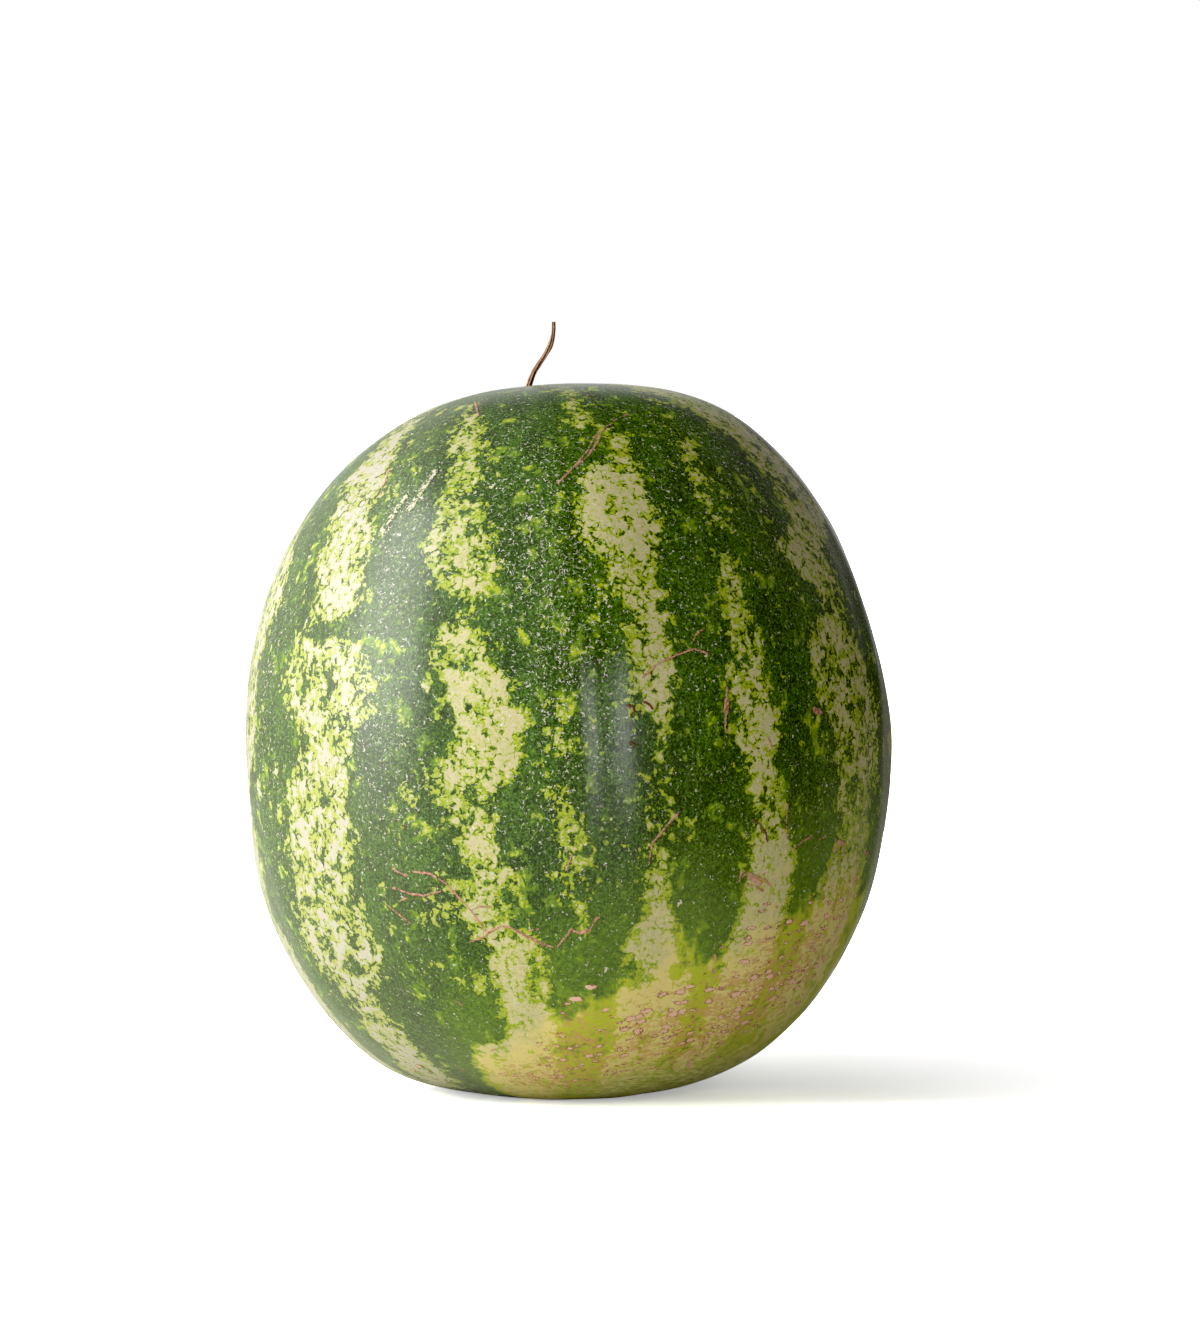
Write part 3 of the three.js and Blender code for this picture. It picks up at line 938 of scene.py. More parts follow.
@dataclass(frozen=True)
class RindFinish:
    """The waxy skin: dark bands, ragged pale stripes, the yellow ground spot, specks, flecks and scars."""

    dark_deep: Colour = colour(30, 54, 10)
    dark_light: Colour = colour(80, 117, 38)
    # Painted sheen: the key light's greyish reflection over the dark bands on the left side.
    painted_sheen: Colour = colour(150, 150, 120)
    vein: Colour = colour(30, 50, 12)
    lime: Colour = colour(164, 175, 48)
    # Painted light: the lime washed paler on the lit left side.
    painted_lit_lime: Colour = colour(166, 170, 88)
    lime_deep: Colour = colour(118, 144, 30)
    cream: Colour = colour(190, 181, 142)
    cream_deep: Colour = colour(170, 172, 102)
    # Painted light: the cream washed nearly white on the lit left side.
    painted_lit_cream: Colour = colour(178, 173, 156)
    ground_lime: Colour = colour(172, 180, 44)
    ground_cream: Colour = colour(213, 197, 124)
    # Painted shade low on the right of the front, made light to stand in for the floor's bounce light.
    painted_underside_olive: Colour = colour(224, 222, 154)
    rust: Colour = colour(188, 138, 92)
    speck: Colour = colour(222, 182, 158)
    speck_rim: Colour = colour(138, 86, 64)
    fleck: Colour = colour(214, 204, 194)
    scuff: Colour = colour(200, 194, 168)
    callus: Colour = colour(196, 150, 126)
    core: Colour = colour(134, 86, 64)
    crack: Colour = colour(92, 54, 34)
    least_roughness: float = 0.16
    gloss: float = 1.46

    def build(self) -> bpy.types.Material:
        """Draws the material.

        Returns:
            The material.
        """
        material, pen = start_material("rind")
        weave = self._weave(pen)
        pale = self._paleness(pen, weave)
        skin = self._stripes(pen, weave, pale)
        skin, specks = self._specks(pen, weave, skin)
        skin, fleck = self._flecks(pen, weave, skin)
        skin, scar = self._scars(pen, weave, skin)
        raised = specks.rise(0.02, 0.06).larger(scar.rise(-0.25, 0.0))
        dry = raised.larger(fleck * 0.7)
        rough = pen.noise(weave.place, 7.0, 3, 0.6) * 0.12 + pale.rise(-0.1, 0.4) * 0.05 + weave.ground * 0.10
        roughness = rough + dry * 0.35 + weave.bleach * 0.11 + self.least_roughness
        height = weave.mottle * 0.08 + weave.grain * 0.045 + weave.tatters * 0.09 + raised * 0.14
        pen.finish(Base_Color=skin, Roughness=roughness, Normal=pen.bump(height, 1.0 * MM), IOR=self.gloss)
        return material

    @staticmethod
    def _weave(pen: NodePen) -> Weave:
        """Lays down what the layers share, in millimetres.

        Args:
            pen: Draws the rind's material.

        Returns:
            What the layers share.
        """
        metres = pen.add("ShaderNodeTexCoord", {}, {}, "Object")
        place = pen.vector("SCALE", {"Vector": metres, "Scale": 1 / MM})
        along = pen.reading(Carried.ALONG, "Vector")
        lobes = pen.noise(place, 11.0, 2, 0.55, 0.5)
        tatters = pen.noise(pen.stretch(place, (1, 1, 0.85)), 4.2, 3, 0.55, 0.8)
        feather = pen.noise(pen.stretch(along, (1, 1, 0.25)), 2.6, 3, 0.6)
        ground = pen.reading(Carried.GROUND)
        return Weave(
            place=place,
            along=along,
            lobes=lobes,
            tatters=tatters,
            crumbs=pen.noise(place, 1.6, 2, 0.6, 1.0),
            grain=pen.noise(place, 0.75, 2, 0.6),
            mottle=pen.noise(place, 1.5, 3, 0.65, 0.6),
            ground=ground,
            yellow=ground + (feather - 0.5) + (tatters - 0.5) * 1.6 + (lobes - 0.5) * 1.8,
            calm=pen.reading(Carried.CALM),
            bleach=pen.reading(Carried.BLEACH),
        )

    @staticmethod
    def _paleness(pen: NodePen, weave: Weave) -> Sock:
        """Frays the stripes' edges and breaks the stripes up with dark channels.

        Args:
            pen: Draws the rind's material.
            weave: What the layers share.

        Returns:
            The paleness with its frayed edges.
        """
        swayed = pen.sway(weave.place, 2.4, 2.8)
        _, chance, _ = pen.grains(swayed, 3.3)
        broken = pen.noise(weave.place, 2.3, 1, 0.5) + (pen.noise(weave.place, 8.0, 2, 0.6, 0.5) - 0.5) * 0.8
        channel = pen.walls(swayed, 3.3).rise(0.19, 0.03) * broken.rise(0.46, 0.56)
        ragged = (weave.lobes - 0.5) * 2.4 + (weave.tatters - 0.5) * 4.4
        ragged = ragged + (weave.crumbs - 0.5) * 0.9 + (chance - 0.5) * 0.6
        return pen.reading(Carried.PALENESS) + (ragged - channel) * (1 - weave.calm * 0.42)

    def _dark(self, pen: NodePen, weave: Weave, cloud: Sock) -> Sock:
        """Colours the dark bands with their veins, and turns them yellow in the ground spot.

        Args:
            pen: Draws the rind's material.
            weave: What the layers share.
            cloud: Broad noise that runs along the fruit.

        Returns:
            The colour of the bands.
        """
        strands = pen.noise(pen.stretch(weave.along, (1, 1, 0.14)), 5.0, 3, 0.6, 0.5)
        strands = abs(strands - 0.5).rise(0.03, 0.006) * weave.crumbs.rise(0.46, 0.56)
        net = pen.walls(pen.sway(pen.stretch(weave.place, (1, 1, 0.8)), 3.5, 4.0), 5.0)
        tint = weave.mottle * 0.4 + weave.grain * 0.6 + (cloud - 0.5) * 0.22
        dark = pen.mix(tint.rise(0.40, 0.62), self.dark_deep, self.dark_light)
        dark = pen.mix(strands.larger(net.rise(0.08, 0.02) * 0.8) * 0.55, dark, self.vein)
        # Painted sheen of the key light over the dark bands on the left side.
        dark = pen.mix(weave.bleach * 0.10, dark, self.painted_sheen)
        greener = pen.mix(weave.mottle.rise(0.3, 0.7), self.dark_light, self.lime_deep)
        dark = pen.mix(weave.yellow.rise(0.15, 0.4).larger(weave.calm * 0.5), dark, greener)
        limy = pen.mix(weave.mottle.rise(0.2, 0.6), self.lime, self.ground_lime)
        dark = pen.mix(weave.yellow.rise(0.4, 0.95), dark, limy)
        patches = pen.noise(pen.stretch(weave.along, (1, 1, 0.5)), 9.0, 3, 0.6, 0.6)
        return pen.mix(weave.yellow.rise(0.6, 1.2) * patches.rise(0.54, 0.64), dark, self.ground_cream)

    def _lime(self, pen: NodePen, weave: Weave) -> Sock:
        """Colours the limy edges and islands of the stripes.

        Args:
            pen: Draws the rind's material.
            weave: What the layers share.

        Returns:
            The colour of the edges and islands.
        """
        lime = pen.mix((weave.crumbs * 0.5 + weave.grain * 0.5).rise(0.40, 0.58), self.lime_deep, self.lime)
        # Painted light: the lime turns paler on the lit left side.
        lime = pen.mix(weave.bleach * 0.75, lime, self.painted_lit_lime)
        return pen.mix(weave.yellow.rise(0.3, 0.8), lime, self.ground_lime)

    def _cream(self, pen: NodePen, weave: Weave) -> Sock:
        """Colours the creamy middles of the stripes.

        Args:
            pen: Draws the rind's material.
            weave: What the layers share.

        Returns:
            The colour of the middles.
        """
        tint = weave.mottle * 0.5 + weave.grain * 0.5
        cream = pen.mix(tint.rise(0.38, 0.56), self.cream_deep, self.cream)
        # Painted light: the cream turns paler on the lit left side.
        cream = pen.mix(weave.bleach, cream, self.painted_lit_cream)
        return pen.mix((weave.yellow * 0.6 + weave.calm * 0.4).rise(0.3, 1.1) * 0.9, cream, self.ground_cream)

    def _stripes(self, pen: NodePen, weave: Weave, pale: Sock) -> Sock:
        """Colours the bands and stripes by their paleness, with painted olive shade low on the right of the
        front over them.

        Args:
            pen: Draws the rind's material.
            weave: What the layers share.
            pale: The paleness with its frayed edges.

        Returns:
            The skin's colour.
        """
        cloud = pen.noise(pen.stretch(weave.along, (1, 1, 0.3)), 9.0, 3, 0.6, 0.4)
        skin = pen.mix(pale.rise(-0.30, -0.14), self._dark(pen, weave, cloud), self._lime(pen, weave))
        skin = pen.mix(pale.rise(0.30, 0.56), skin, self._cream(pen, weave))
        # Painted olive shade low on the right of the front, lightened to stand in for the floor's bounce
        # light.
        layers = pen.noise(pen.stretch(weave.along, (0.6, 0.6, 2.0)), 3.4, 3, 0.6, 0.6)
        painted_underside_olive = pen.mix(layers.rise(0.38, 0.62), self.lime_deep, self.painted_underside_olive)
        cover = cloud.rise(0.3, 0.6) * 0.3 + layers.rise(0.3, 0.7) * 0.5 + 0.2
        return pen.mix(pen.reading(Carried.SHADE) * cover, skin, painted_underside_olive)

    def _specks(self, pen: NodePen, weave: Weave, skin: Sock) -> tuple[Sock, Sock]:
        """Adds the rusty haze and the rimmed corky specks.

        Args:
            pen: Draws the rind's material.
            weave: What the layers share.
            skin: The skin's colour so far.

        Returns:
            The skin's colour, and how far inside a speck each place is.
        """
        cork = pen.reading(Carried.CORK)
        rust = pen.noise(pen.stretch(weave.along, (1, 1, 2.2)), 5.0, 4, 0.68, 1.4) + cork * 0.14
        skin = pen.mix(rust.rise(0.615, 0.655) * cork.rise(0.05, 0.4) * 0.65, skin, self.rust)
        away, chance, girth = pen.grains(pen.sway(pen.stretch(weave.along, (0.8, 0.8, 1.5)), 1.6, 1.9), 4.0)
        shown = (cork * (weave.lobes * 2.4 - 0.35) - chance).rise(0.0, 0.04)
        inside = girth * 0.28 + 0.26 - away + (weave.grain - 0.5) * 0.25 + (weave.crumbs - 0.5) * 0.5
        specks = inside * shown
        skin = pen.mix(specks.rise(0.0, 0.03) * 0.9, skin, self.speck_rim)
        return pen.mix(specks.rise(0.08, 0.13) * 0.95, skin, self.speck), specks

    def _flecks(self, pen: NodePen, weave: Weave, skin: Sock) -> tuple[Sock, Sock]:
        """Adds the whitish flecks, which are curls, dots and chips.

        Args:
            pen: Draws the rind's material.
            weave: What the layers share.
            skin: The skin's colour so far.

        Returns:
            The skin's colour, and where the flecks are.
        """
        flecks = pen.reading(Carried.FLECKS)
        curl = abs(pen.noise(weave.place, 1.8, 1, 0.5, 0.6) - 0.5).rise(0.032, 0.010)
        chosen = (pen.noise(weave.place, 1.4, 1, 0.5) + flecks * 0.18).rise(0.675, 0.705)
        away, chance, girth = pen.grains(pen.sway(weave.place, 1.2, 0.6), 2.1)
        dots = (girth * 0.10 + 0.07 - away).rise(-0.02, 0.02) * (flecks * 0.24 - chance).rise(-0.02, 0.02)
        away, chance, girth = pen.grains(pen.sway(weave.place, 2.6, 4.5), 7.0)
        chips = (girth * 0.07 + 0.05 - away).rise(-0.01, 0.01) * (flecks * 0.35 - chance).rise(-0.02, 0.02)
        fleck = (curl * chosen).larger(dots).larger(chips)
        cover = (1 - weave.yellow.rise(0.2, 0.8) * 0.6) * 0.85
        return pen.mix(fleck * cover, skin, self.fleck), fleck

    def _scars(self, pen: NodePen, weave: Weave, skin: Sock) -> tuple[Sock, Sock]:
        """Adds the scars, coloured by their tone.

        Args:
            pen: Draws the rind's material.
            weave: What the layers share.
            skin: The skin's colour so far.

        Returns:
            The skin's colour, and how far inside a scar each place is.
        """
        frayed = (weave.crumbs - 0.5) * 1.5 + (weave.grain - 0.5) + (weave.tatters - 0.5) * 0.7
        scar = pen.reading(Carried.SCAR) + frayed
        tone = pen.reading(Carried.TONE) + (weave.tatters - 0.5) * 0.5
        corky = pen.mix(tone.rise(0.0, 0.4), self.scuff, self.callus)
        beads = pen.noise(weave.place, 1.1, 1, 0.5, 0.5).rise(0.40, 0.52)
        corky = pen.mix(scar.rise(0.02, 0.16) * beads * tone.rise(0.35, 0.6) * 0.9, corky, self.core)
        corky = pen.mix(tone.rise(0.7, 0.95), corky, self.crack)
        skin = pen.mix(scar.rise(-0.30, -0.18) * tone.rise(0.1, 0.6) * 0.6, skin, self.speck_rim)
        worn = tone.rise(0.25, 0.1) * weave.mottle.rise(0.46, 0.54)
        return pen.mix(scar.rise(-0.12, 0.0) * (1 - worn), skin, corky), scar


@dataclass(frozen=True)
class StemFinish:
    """The dried stem's bark: brown, streaked along its length, with painted shade darkening its grooves."""

    groove: Colour = colour(74, 50, 32)
    bark: Colour = colour(146, 108, 74)
    straw: Colour = colour(190, 156, 116)

    def build(self) -> bpy.types.Material:
        """Draws the material.

        Returns:
            The material.
        """
        material, pen = start_material("dried_stem")
        run = pen.reading(Carried.RUN, "Vector")
        streak = pen.noise(pen.stretch(run, (1, 1, 0.12)), 0.35, 4, 0.65, 0.3)
        flake = pen.noise(pen.stretch(run, (1, 1, 0.4)), 0.9, 3, 0.6, 0.5)
        groove = pen.reading(Carried.GROOVE)
        bark = pen.mix(streak.rise(0.38, 0.62), self.bark, self.straw)
        bark = pen.mix(flake.rise(0.5, 0.7) * 0.5, bark, self.groove)
        # Painted shade: the grooves between the ridges are darkened with the groove colour, which also
        # darkens some flakes.
        bark = pen.mix((groove + (streak - 0.5) * 0.6).rise(0.25, 0.85), bark, self.groove)
        height = streak * 0.6 + flake * 0.4
        pen.finish(Base_Color=bark, Roughness=0.85 - streak * 0.2, Normal=pen.bump(height, 0.35 * MM))
        return material


@dataclass(frozen=True)
class FloorFinish:
    """A matt pale floor that the camera sees lit to white a little way out, so that no horizon shows.

    What it sends back to the fruit is set apart from that: the lit side, the place under the fruit and the
    shaded side each have their own lightness.
    """

    lit_side: Colour = (1.08, 1.08, 1.01, 1.0)
    under: Colour = (0.86, 0.86, 0.75, 1.0)
    shaded_side: Colour = (0.40, 0.40, 0.32, 1.0)
    to_camera: Colour = (2.136, 2.136, 2.136, 1.0)
    tint: Triple = (0.955, 0.96, 1.0)
    glow: float = 0.33
    front_glow: float = 0.42
    far_glow: float = 0.8
    lit_from: float = 0.30
    lit_fully: float = 0.70

    def build(self) -> bpy.types.Material:
        """Draws the material.

        Returns:
            The material.
        """
        material, pen = start_material("floor")
        by_camera = pen.by_camera()
        place = pen.add("ShaderNodeTexCoord", {}, {}, "Object")
        across = pen.part(place, "X")
        bounce = pen.mix(across.rise(-0.05, -0.25), self.under, self.lit_side)
        bounce = pen.mix(across.rise(0.10, 0.28), bounce, self.shaded_side)
        away = pen.add("ShaderNodeVectorMath", {"operation": "LENGTH"}, {0: place}, "Value")
        front = pen.part(place, "Y").rise(-0.02, -0.07)
        lit = away.rise(self.lit_from, self.lit_fully) * self.far_glow + front * self.front_glow + self.glow
        shine = pen.vector("SCALE", {"Vector": self.tint, "Scale": by_camera * lit})
        matt = pen.mix(by_camera, bounce, self.to_camera)
        plain = {"Roughness": 1.0, "Specular_IOR_Level": 0.0, "Emission_Strength": 1.0}
        pen.finish(Base_Color=matt, Emission_Color=shine, **plain)
        return material


def make_piece(name: str, shape: bmesh.types.BMesh, material: bpy.types.Material) -> bpy.types.Object:
    """Turns a finished bmesh into a smooth object at the origin.

    Args:
        name: The object's name.
        shape: The bmesh, which is freed.
        material: The finish of the whole piece.

    Returns:
        The object.
    """
    mesh = bpy.data.meshes.new(name)
    shape.to_mesh(mesh)
    shape.free()
    mesh.materials.append(material)
    mesh.shade_smooth()
    piece = bpy.data.objects.new(name, mesh)
    bpy.context.scene.collection.objects.link(piece)
    return piece


def carry(piece: bpy.types.Object, carried: Carried, values: Array) -> None:
    """Gives each point of a mesh a number, or a vector where values has three columns.

    Args:
        piece: The object whose mesh carries the values.
        carried: Which reading they are.
        values: One row for each point of the mesh, in its order.
    """
    vector = values.ndim == 2
    layer = piece.data.attributes.new(carried.value, "FLOAT_VECTOR" if vector else "FLOAT", "POINT")
    flat = np.ascontiguousarray(values, dtype=np.float32).ravel()
    layer.data.foreach_set("vector" if vector else "value", flat)


@dataclass
class Rind:
    """The whole fruit's outside, from the dimple down to the blossom scar that it stands on."""

    form: FruitForm = field(default_factory=FruitForm)
    fineness: int = 7
    scar_rings: tuple[float, ...] = (3.4, 2.3, 1.5)
    scar_share: float = 0.55
    scar_height: float = 0.20
    lump_size: float = 17.0
    lump_height: float = 0.22
    sunk: float = 0.32
    ring_radius: float = 2.9
    blossom_radius: float = 4.5
    scar_margin: float = 6.0
    scar_slope: tuple[float, float] = (-0.5, 0.4)
    wrap_radius: float = 100.0

    def build(self) -> bpy.types.Object:
        """Makes the fruit and dresses it.

        Returns:
            The fruit.
        """
        scars = [*FRONT_SCARS, *HiddenScars().scratch()]
        traces = [(mark, np.array([self.form.skin_at(*place) for place in mark.places])) for mark in scars]
        shape = bmesh.new()
        bmesh.ops.create_icosphere(shape, subdivisions=self.fineness, radius=1.0)
        for reach in self.scar_rings:
            self._refine(shape, traces, reach)
        bmesh.ops.triangulate(shape, faces=shape.faces[:])
        piece = make_piece("rind", shape, RindFinish().build())
        points = self._form_skin(piece, traces)
        self._mark(piece, points, traces)
        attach(piece, "root")
        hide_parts("melon")
        log.info("rind: %d triangles, %d scars", len(piece.data.polygons), len(scars))
        return piece

    @staticmethod
    def _directions(coordinates: Array) -> Array:
        """Returns unit directions."""
        return coordinates / np.linalg.norm(coordinates, axis=1)[:, None]

    def _refine(self, shape: bmesh.types.BMesh, traces: Traces, reach: float) -> None:
        """Splits the edges that lie near a scar.

        Args:
            shape: The fruit's mesh.
            traces: Each scar with its line on the skin.
            reach: How near they lie, in millimetres.
        """
        shape.verts.index_update()
        coordinates = np.array([vertex.co for vertex in shape.verts])
        depth, _ = self._scar_depth(self.form.skin(self._directions(coordinates)), traces)
        near = depth > -reach
        edges = [edge for edge in shape.edges if near[edge.verts[0].index] or near[edge.verts[1].index]]
        bmesh.ops.subdivide_edges(shape, edges=edges, cuts=1, use_grid_fill=True)
        bmesh.ops.triangulate(shape, faces=[face for face in shape.faces if len(face.verts) > 3])

    def _scar_depth(self, points: Array, traces: Traces) -> tuple[Array, Array]:
        """Measures how far inside the nearest scar each point is.

        Args:
            points: Places on the skin, in millimetres.
            traces: Each scar with its line on the skin.

        Returns:
            The depth in millimetres, negative outside, and the tone of the scar.
        """
        depth, tone = np.full(len(points), -self.scar_margin), np.zeros(len(points))
        for mark, line in traces:
            middle = line.mean(axis=0)
            reach = np.linalg.norm(line - middle, axis=1).max() + self.scar_margin
            close = np.flatnonzero(np.linalg.norm(points - middle, axis=1) < reach)
            for start, end in zip(line[:-1], line[1:]):
                run = end - start
                share = np.clip((points[close] - start) @ run / (run @ run), 0, 1)
                away = np.linalg.norm(points[close] - start - share[:, None] * run, axis=1)
                inside = mark.half_width * self.scar_share - away
                better = inside > depth[close]
                depth[close[better]] = inside[better]
                tone[close[better]] = mark.kind.value
        return depth, tone

    def _form_skin(self, piece: bpy.types.Object, traces: Traces) -> Array:
        """Moves every point out to the skin, with its small lumps and raised scars.

        Args:
            piece: The fruit as a ball of radius 1.
            traces: Each scar with its line on the skin.

        Returns:
            The points, in millimetres.
        """
        mesh = piece.data
        ball = np.empty(len(mesh.vertices) * 3, dtype=np.float32)
        mesh.vertices.foreach_get("co", ball)
        towards = self._directions(ball.reshape(-1, 3).astype(float))
        points = self.form.skin(towards)
        lumps = np.array([noise.noise(Vector(point / self.lump_size)) for point in points])
        depth, _ = self._scar_depth(points, traces)
        raised = self.lump_height * lumps + self.scar_height * ease(depth, *self.scar_slope) - self.sunk
        points += towards * raised[:, None]
        points[:, 2] = np.maximum(points[:, 2], 0)
        mesh.vertices.foreach_set("co", (points * MM).astype(np.float32).ravel())
        mesh.update()
        return points

    def _mark(self, piece: bpy.types.Object, points: Array, traces: Traces) -> None:
        """Lets the mesh carry what its material reads.

        Args:
            piece: The fruit.
            points: Its mesh's points, one a row, in millimetres.
            traces: Each scar with its line on the skin.
        """
        marks = SkinMarks((*FRONT_STRIPES, *HiddenStripes().grow()), FRONT_PATCHES)
        longitude, polar = self.form.places(points)
        along, _, _ = self.form.growth_frame()
        girth = np.linalg.norm(np.cross(points - self.form.ends()[1], along), axis=1)
        turn = np.radians(longitude)
        down = np.radians(polar) * MEAN_RADIUS
        wrap = np.cos(turn) * self.wrap_radius, np.sin(turn) * self.wrap_radius, down
        inside = marks.into_ground(longitude, polar)
        depth, tone = self._with_ends(points, *self._scar_depth(points, traces))
        readings = {
            Carried.ALONG: np.stack(wrap, axis=1),
            Carried.PALENESS: marks.paleness(longitude, polar, girth),
            Carried.GROUND: ease(inside, -marks.ground_blur, marks.ground_blur),
            Carried.CALM: ease(inside, -marks.calm_lead, -marks.ground_blur),
            # Where painted shade and painted light go on the skin.
            Carried.SHADE: marks.shade(longitude, polar),
            Carried.BLEACH: marks.bleach(longitude),
            Carried.CORK: marks.cork(longitude, polar),
            Carried.FLECKS: marks.flecks(longitude, polar),
            Carried.SCAR: np.clip(depth, -3, 2),
            Carried.TONE: tone,
        }
        for carried, values in readings.items():
            carry(piece, carried, values)
        log.info("stripes: %s", ", ".join(stripe.name for stripe in marks.stripes))

    def _with_ends(self, points: Array, depth: Array, tone: Array) -> tuple[Array, Array]:
        """Adds the ring round the stem and the blossom scar to the scars.

        Args:
            points: Places on the skin, in millimetres.
            depth: How far inside the nearest scar each is.
            tone: The tone of that scar.

        Returns:
            The depth and the tone with both ends.
        """
        from_stem = np.linalg.norm(points[:, :2] - np.array(self.form.stem_end), axis=1)
        above = points[:, 2] > self.form.waist_height
        stem_ring = np.where(above, self.ring_radius - from_stem, -self.scar_margin)
        blossom = self.blossom_radius - np.linalg.norm(points - self.form.ends()[1], axis=1)
        for inside in (stem_ring, blossom):
            tone = np.where(inside > depth, CORK.value, tone)
            depth = np.maximum(depth, inside)
        return depth, tone


@dataclass
class DriedStem:
    """The woody stub that the fruit was cut off with, in millimetres from the skin where it stands."""

    form: FruitForm
    route: tuple[Triple, ...] = (
        (0, 0, -2),
        (0, 0, 0),
        (1.1, -0.1, 3.6),
        (3.3, -0.5, 9.5),
        (8, -1.5, 16.9),
        (10.2, -2.4, 21.6),
        (11, -3.1, 26),
        (11.1, -3.7, 29.5),
    )
    foot_radius: float = 1.9
    radius: float = 1.15
    tip_radius: float = 0.68
    flare: float = 0.13
    knot_at: float = 0.72
    knot_width: float = 0.09
    knot_height: float = 0.22
    ridges: int = 5
    ridge_depth: float = 0.12
    fibres: int = 13
    fibre_depth: float = 0.05
    twist: float = 1.4
    grain_length: float = 16.0
    grain_stretch: Triple = (1.6, 1.6, 0.9)
    grain_depth: float = 0.09
    tip_roughness: float = 0.25
    sides: int = 52
    rings: int = 150

    def build(self) -> bpy.types.Object:
        """Makes the stem and dresses it.

        Returns:
            The stem.
        """
        shape = bmesh.new()
        bmesh.ops.create_cone(
            shape, cap_ends=True, cap_tris=False, segments=self.sides, radius1=1, radius2=1, depth=1,
            matrix=Matrix.Translation((0, 0, 0.5)),
        )
        caps = [face for face in shape.faces if abs(face.normal.z) > 0.9]
        for share in (0.35, 0.5):
            bmesh.ops.inset_region(shape, faces=caps, thickness=share * 0.6, use_even_offset=False)
        bmesh.ops.poke(shape, faces=caps)
        upright = [edge for edge in shape.edges if abs(edge.verts[0].co.z - edge.verts[1].co.z) > 0.9]
        bmesh.ops.subdivide_edges(shape, edges=upright, cuts=self.rings - 1, use_grid_fill=True)
        piece = make_piece("dried_stem", shape, StemFinish().build())
        self._bend(piece)
        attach(piece, "root")
        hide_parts("stem")
        log.info("dried stem: %d faces", len(piece.data.polygons))
        return piece

    def _foot(self) -> Array:
        """Finds the point of the skin that the stem stands on.

        Returns:
            The point.
        """
        form = self.form
        height = form.waist_height + form.rise
        for _ in range(20):
            towards = np.array([*form.stem_end, height - form.waist_height])
            height = float(form.skin((towards / np.linalg.norm(towards))[None])[0, 2])
        return np.array([*form.stem_end, height])

    def _centre_line(self, shares: Array) -> Array:
        """Finds places on the smooth line through the route.

        Args:
            shares: Shares of the line's length, from 0 to 1.

        Returns:
            The places, one a row, in millimetres from where the stem stands.
        """
        knots = np.array(self.route, dtype=float)
        padded = np.vstack([2 * knots[0] - knots[1], knots, 2 * knots[-1] - knots[-2]])
        samples = []
        for before, start, end, after in zip(padded, padded[1:], padded[2:], padded[3:]):
            for step in np.linspace(0, 1, 24, endpoint=False):
                pull = end - before, after - start
                samples.append(
                    start * (1 - 3 * step**2 + 2 * step**3) + end * (3 * step**2 - 2 * step**3)
                    + 0.5 * pull[0] * (step - 2 * step**2 + step**3) + 0.5 * pull[1] * (step**3 - step**2)
                )
        line = np.array([*samples, knots[-1]])
        lengths = np.concatenate([[0], np.cumsum(np.linalg.norm(np.diff(line, axis=0), axis=1))])
        wanted = shares * lengths[-1]
        return np.stack([np.interp(wanted, lengths, line[:, axis]) for axis in range(3)], axis=1)

    def _bend(self, piece: bpy.types.Object) -> None:
        """Shapes the upright rod into the ridged, tapered stem along its route.

        Args:
            piece: The rod, of radius 1 and height 1.
        """
        mesh = piece.data
        rod = np.empty(len(mesh.vertices) * 3, dtype=np.float32)
        mesh.vertices.foreach_get("co", rod)
        rod = rod.reshape(-1, 3).astype(float)
        share = np.clip(rod[:, 2], 0, 1)
        angle, away = np.arctan2(rod[:, 1], rod[:, 0]), np.hypot(rod[:, 0], rod[:, 1])
        girth = self.radius + (self.tip_radius - self.radius) * share
        girth += (self.foot_radius - self.radius) * bell(share, self.flare)
        girth += self.knot_height * bell(share - self.knot_at, self.knot_width)
        turned_angle = angle + self.twist * share
        ridge = np.cos(self.ridges * turned_angle)
        girth *= 1 + self.ridge_depth * ridge + self.fibre_depth * np.cos(self.fibres * turned_angle + 1)
        run = np.stack([np.cos(turned_angle), np.sin(turned_angle), share * self.grain_length], axis=1)
        grain = np.array([noise.noise(Vector(point)) for point in run * np.array(self.grain_stretch)])
        girth *= 1 + self.grain_depth * grain
        line = self._centre_line(share)
        ahead, behind = np.clip(share + 0.02, 0, 1), np.clip(share - 0.02, 0, 1)
        heading = self._centre_line(ahead) - self._centre_line(behind)
        heading /= np.linalg.norm(heading, axis=1)[:, None]
        across = np.cross([0.0, 1.0, 0.0], heading)
        across /= np.linalg.norm(across, axis=1)[:, None]
        beside = np.cross(heading, across)
        reach = (girth * away)[:, None]
        points = line + reach * (np.cos(angle)[:, None] * across + np.sin(angle)[:, None] * beside)
        points += heading * np.where(share >= 1, self.tip_roughness * grain * (1 - away), 0)[:, None]
        points += self._foot()
        mesh.vertices.foreach_set("co", (points * MM).astype(np.float32).ravel())
        mesh.update()
        carry(piece, Carried.RUN, run)
        carry(piece, Carried.GROOVE, 0.5 - 0.5 * ridge)


class Softbox(NamedTuple):
    """An upright rectangular light that faces the fruit, in metres, with its lean to one side in degrees."""

    name: str
    place: Triple
    size: tuple[float, float]
    radiance: float
    lean: float


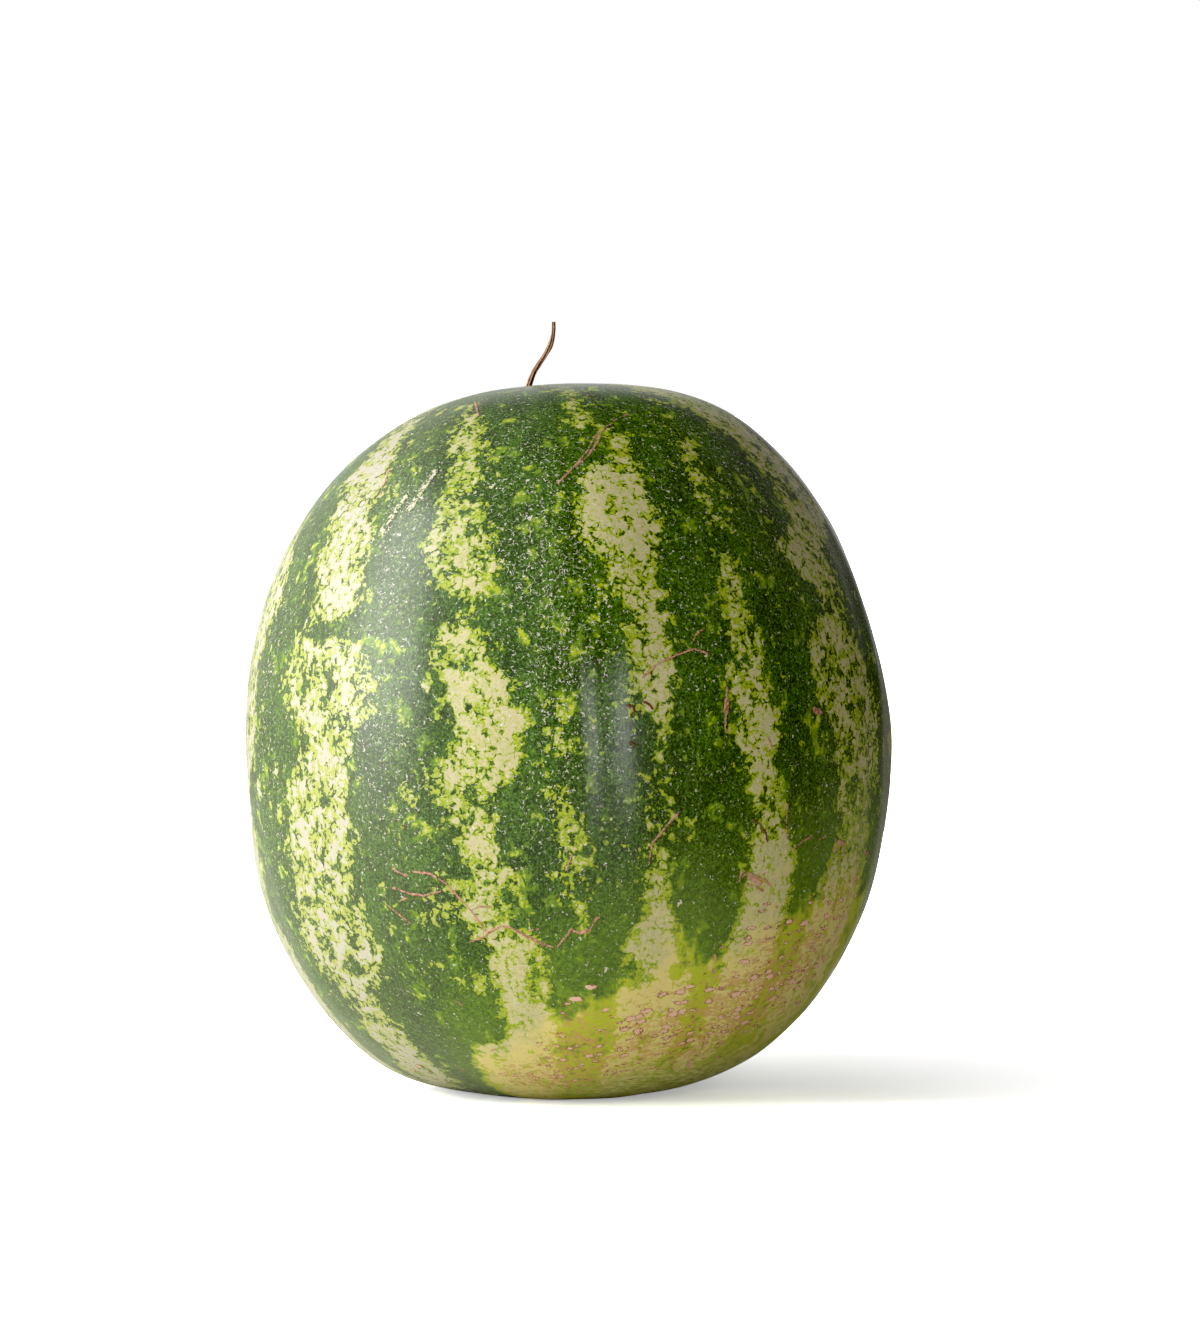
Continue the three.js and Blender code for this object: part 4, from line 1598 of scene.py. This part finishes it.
@dataclass
class Studio:
    """The plain pale floor, the soft lights and the camera, in metres."""

    aim: Triple = (0.0132, 0.0, 0.1690)
    distance: float = 2.2
    elevation: float = 4.0
    camera_target: Triple = (0.0, 0.0, 0.14)
    lens: float = 153.46
    floor_size: float = 40.0
    softboxes: tuple[Softbox, ...] = (
        Softbox("key", (-1.381, -0.331, 1.16), (1.0, 2.3), 6.5, 20),
        Softbox("strip", (0.25, -0.71, 0.20), (0.18, 0.30), 6.0, 0),
    )
    black_level: Triple = (0.012, 0.019, 0.015)

    def build(self) -> None:
        """Makes the floor, the lights and the camera, and sets the picture's tones."""
        self._floor()
        self._sky()
        for softbox in self.softboxes:
            self._hang(softbox)
        self._camera()
        self._tones()
        log.info("studio: floor, lights and camera")

    def _floor(self) -> None:
        """Lays the floor."""
        shape = bmesh.new()
        bmesh.ops.create_grid(shape, x_segments=1, y_segments=1, size=self.floor_size / 2)
        make_piece("floor", shape, FloorFinish().build())

    def _sky(self) -> None:
        """Sets a dark room that is paler on the left and behind, and plain white for the camera."""
        world = bpy.data.worlds.new("studio")
        world.use_nodes = True
        bpy.context.scene.world = world
        pen = NodePen(world.node_tree)
        towards = pen.add("ShaderNodeTexCoord", {}, {}, "Generated")
        right, behind, above = (pen.part(towards, axis) for axis in "XYZ")
        fill = right.rise(0.1, 0.6) * above.rise(-0.1, 0.35) * 0.17
        level = right.rise(0.2, -0.9) * 1.3 + behind.rise(0.80, 0.98) * 0.6 + fill + 0.03
        light = pen.add("ShaderNodeBackground", {}, {"Color": (1.0, 0.98, 0.97, 1.0), "Strength": level})
        white = pen.add("ShaderNodeBackground", {}, {"Color": (1, 1, 1, 1), "Strength": 1.0})
        shader = pen.add("ShaderNodeMixShader", {}, {0: pen.by_camera(), 1: light, 2: white})
        pen.add("ShaderNodeOutputWorld", {}, {"Surface": shader})

    @staticmethod
    def _hang(softbox: Softbox) -> None:
        """Hangs one light so that it faces the fruit's axis.

        Args:
            softbox: The light.
        """
        light = bpy.data.lights.new(softbox.name, "AREA")
        light.shape = "RECTANGLE"
        light.size, light.size_y = softbox.size
        light.energy = softbox.radiance * math.pi * light.size * light.size_y
        inwards = Vector((-softbox.place[0], -softbox.place[1], 0)).to_track_quat("-Z", "Y").to_matrix()
        lamp = bpy.data.objects.new(softbox.name, light)
        lamp.location = softbox.place
        lamp.rotation_euler = (inwards @ Matrix.Rotation(math.radians(softbox.lean), 3, "Z")).to_euler()
        lamp.visible_camera = False
        bpy.context.scene.collection.objects.link(lamp)

    def _camera(self) -> None:
        """Places the camera at the picture's viewing angle."""
        tilt = math.radians(self.elevation)
        camera = bpy.data.cameras.new("camera")
        camera.lens = self.lens
        camera.sensor_width = 36.0
        camera.clip_end = 100.0
        eye = Vector(self.camera_target) + self.distance * Vector((0, -math.cos(tilt), math.sin(tilt)))
        stand = bpy.data.objects.new("camera", camera)
        stand.location = eye
        stand.rotation_euler = (Vector(self.aim) - eye).to_track_quat("-Z", "Y").to_euler()
        bpy.context.scene.collection.objects.link(stand)
        bpy.context.scene.camera = stand

    def _tones(self) -> None:
        """Shows colours as they are, with slightly deeper blacks."""
        view = bpy.context.scene.view_settings
        view.view_transform = "Standard"
        view.look = "None"
        view.use_curve_mapping = True
        view.curve_mapping.black_level = self.black_level
        view.curve_mapping.update()


def main() -> None:
    """Builds the watermelon and its studio in order."""
    logging.basicConfig(level=logging.INFO, format="%(name)s: %(message)s")
    form = FruitForm()
    Rind(form).build()
    DriedStem(form).build()
    Studio().build()


if __name__ == "__main__":
    main()
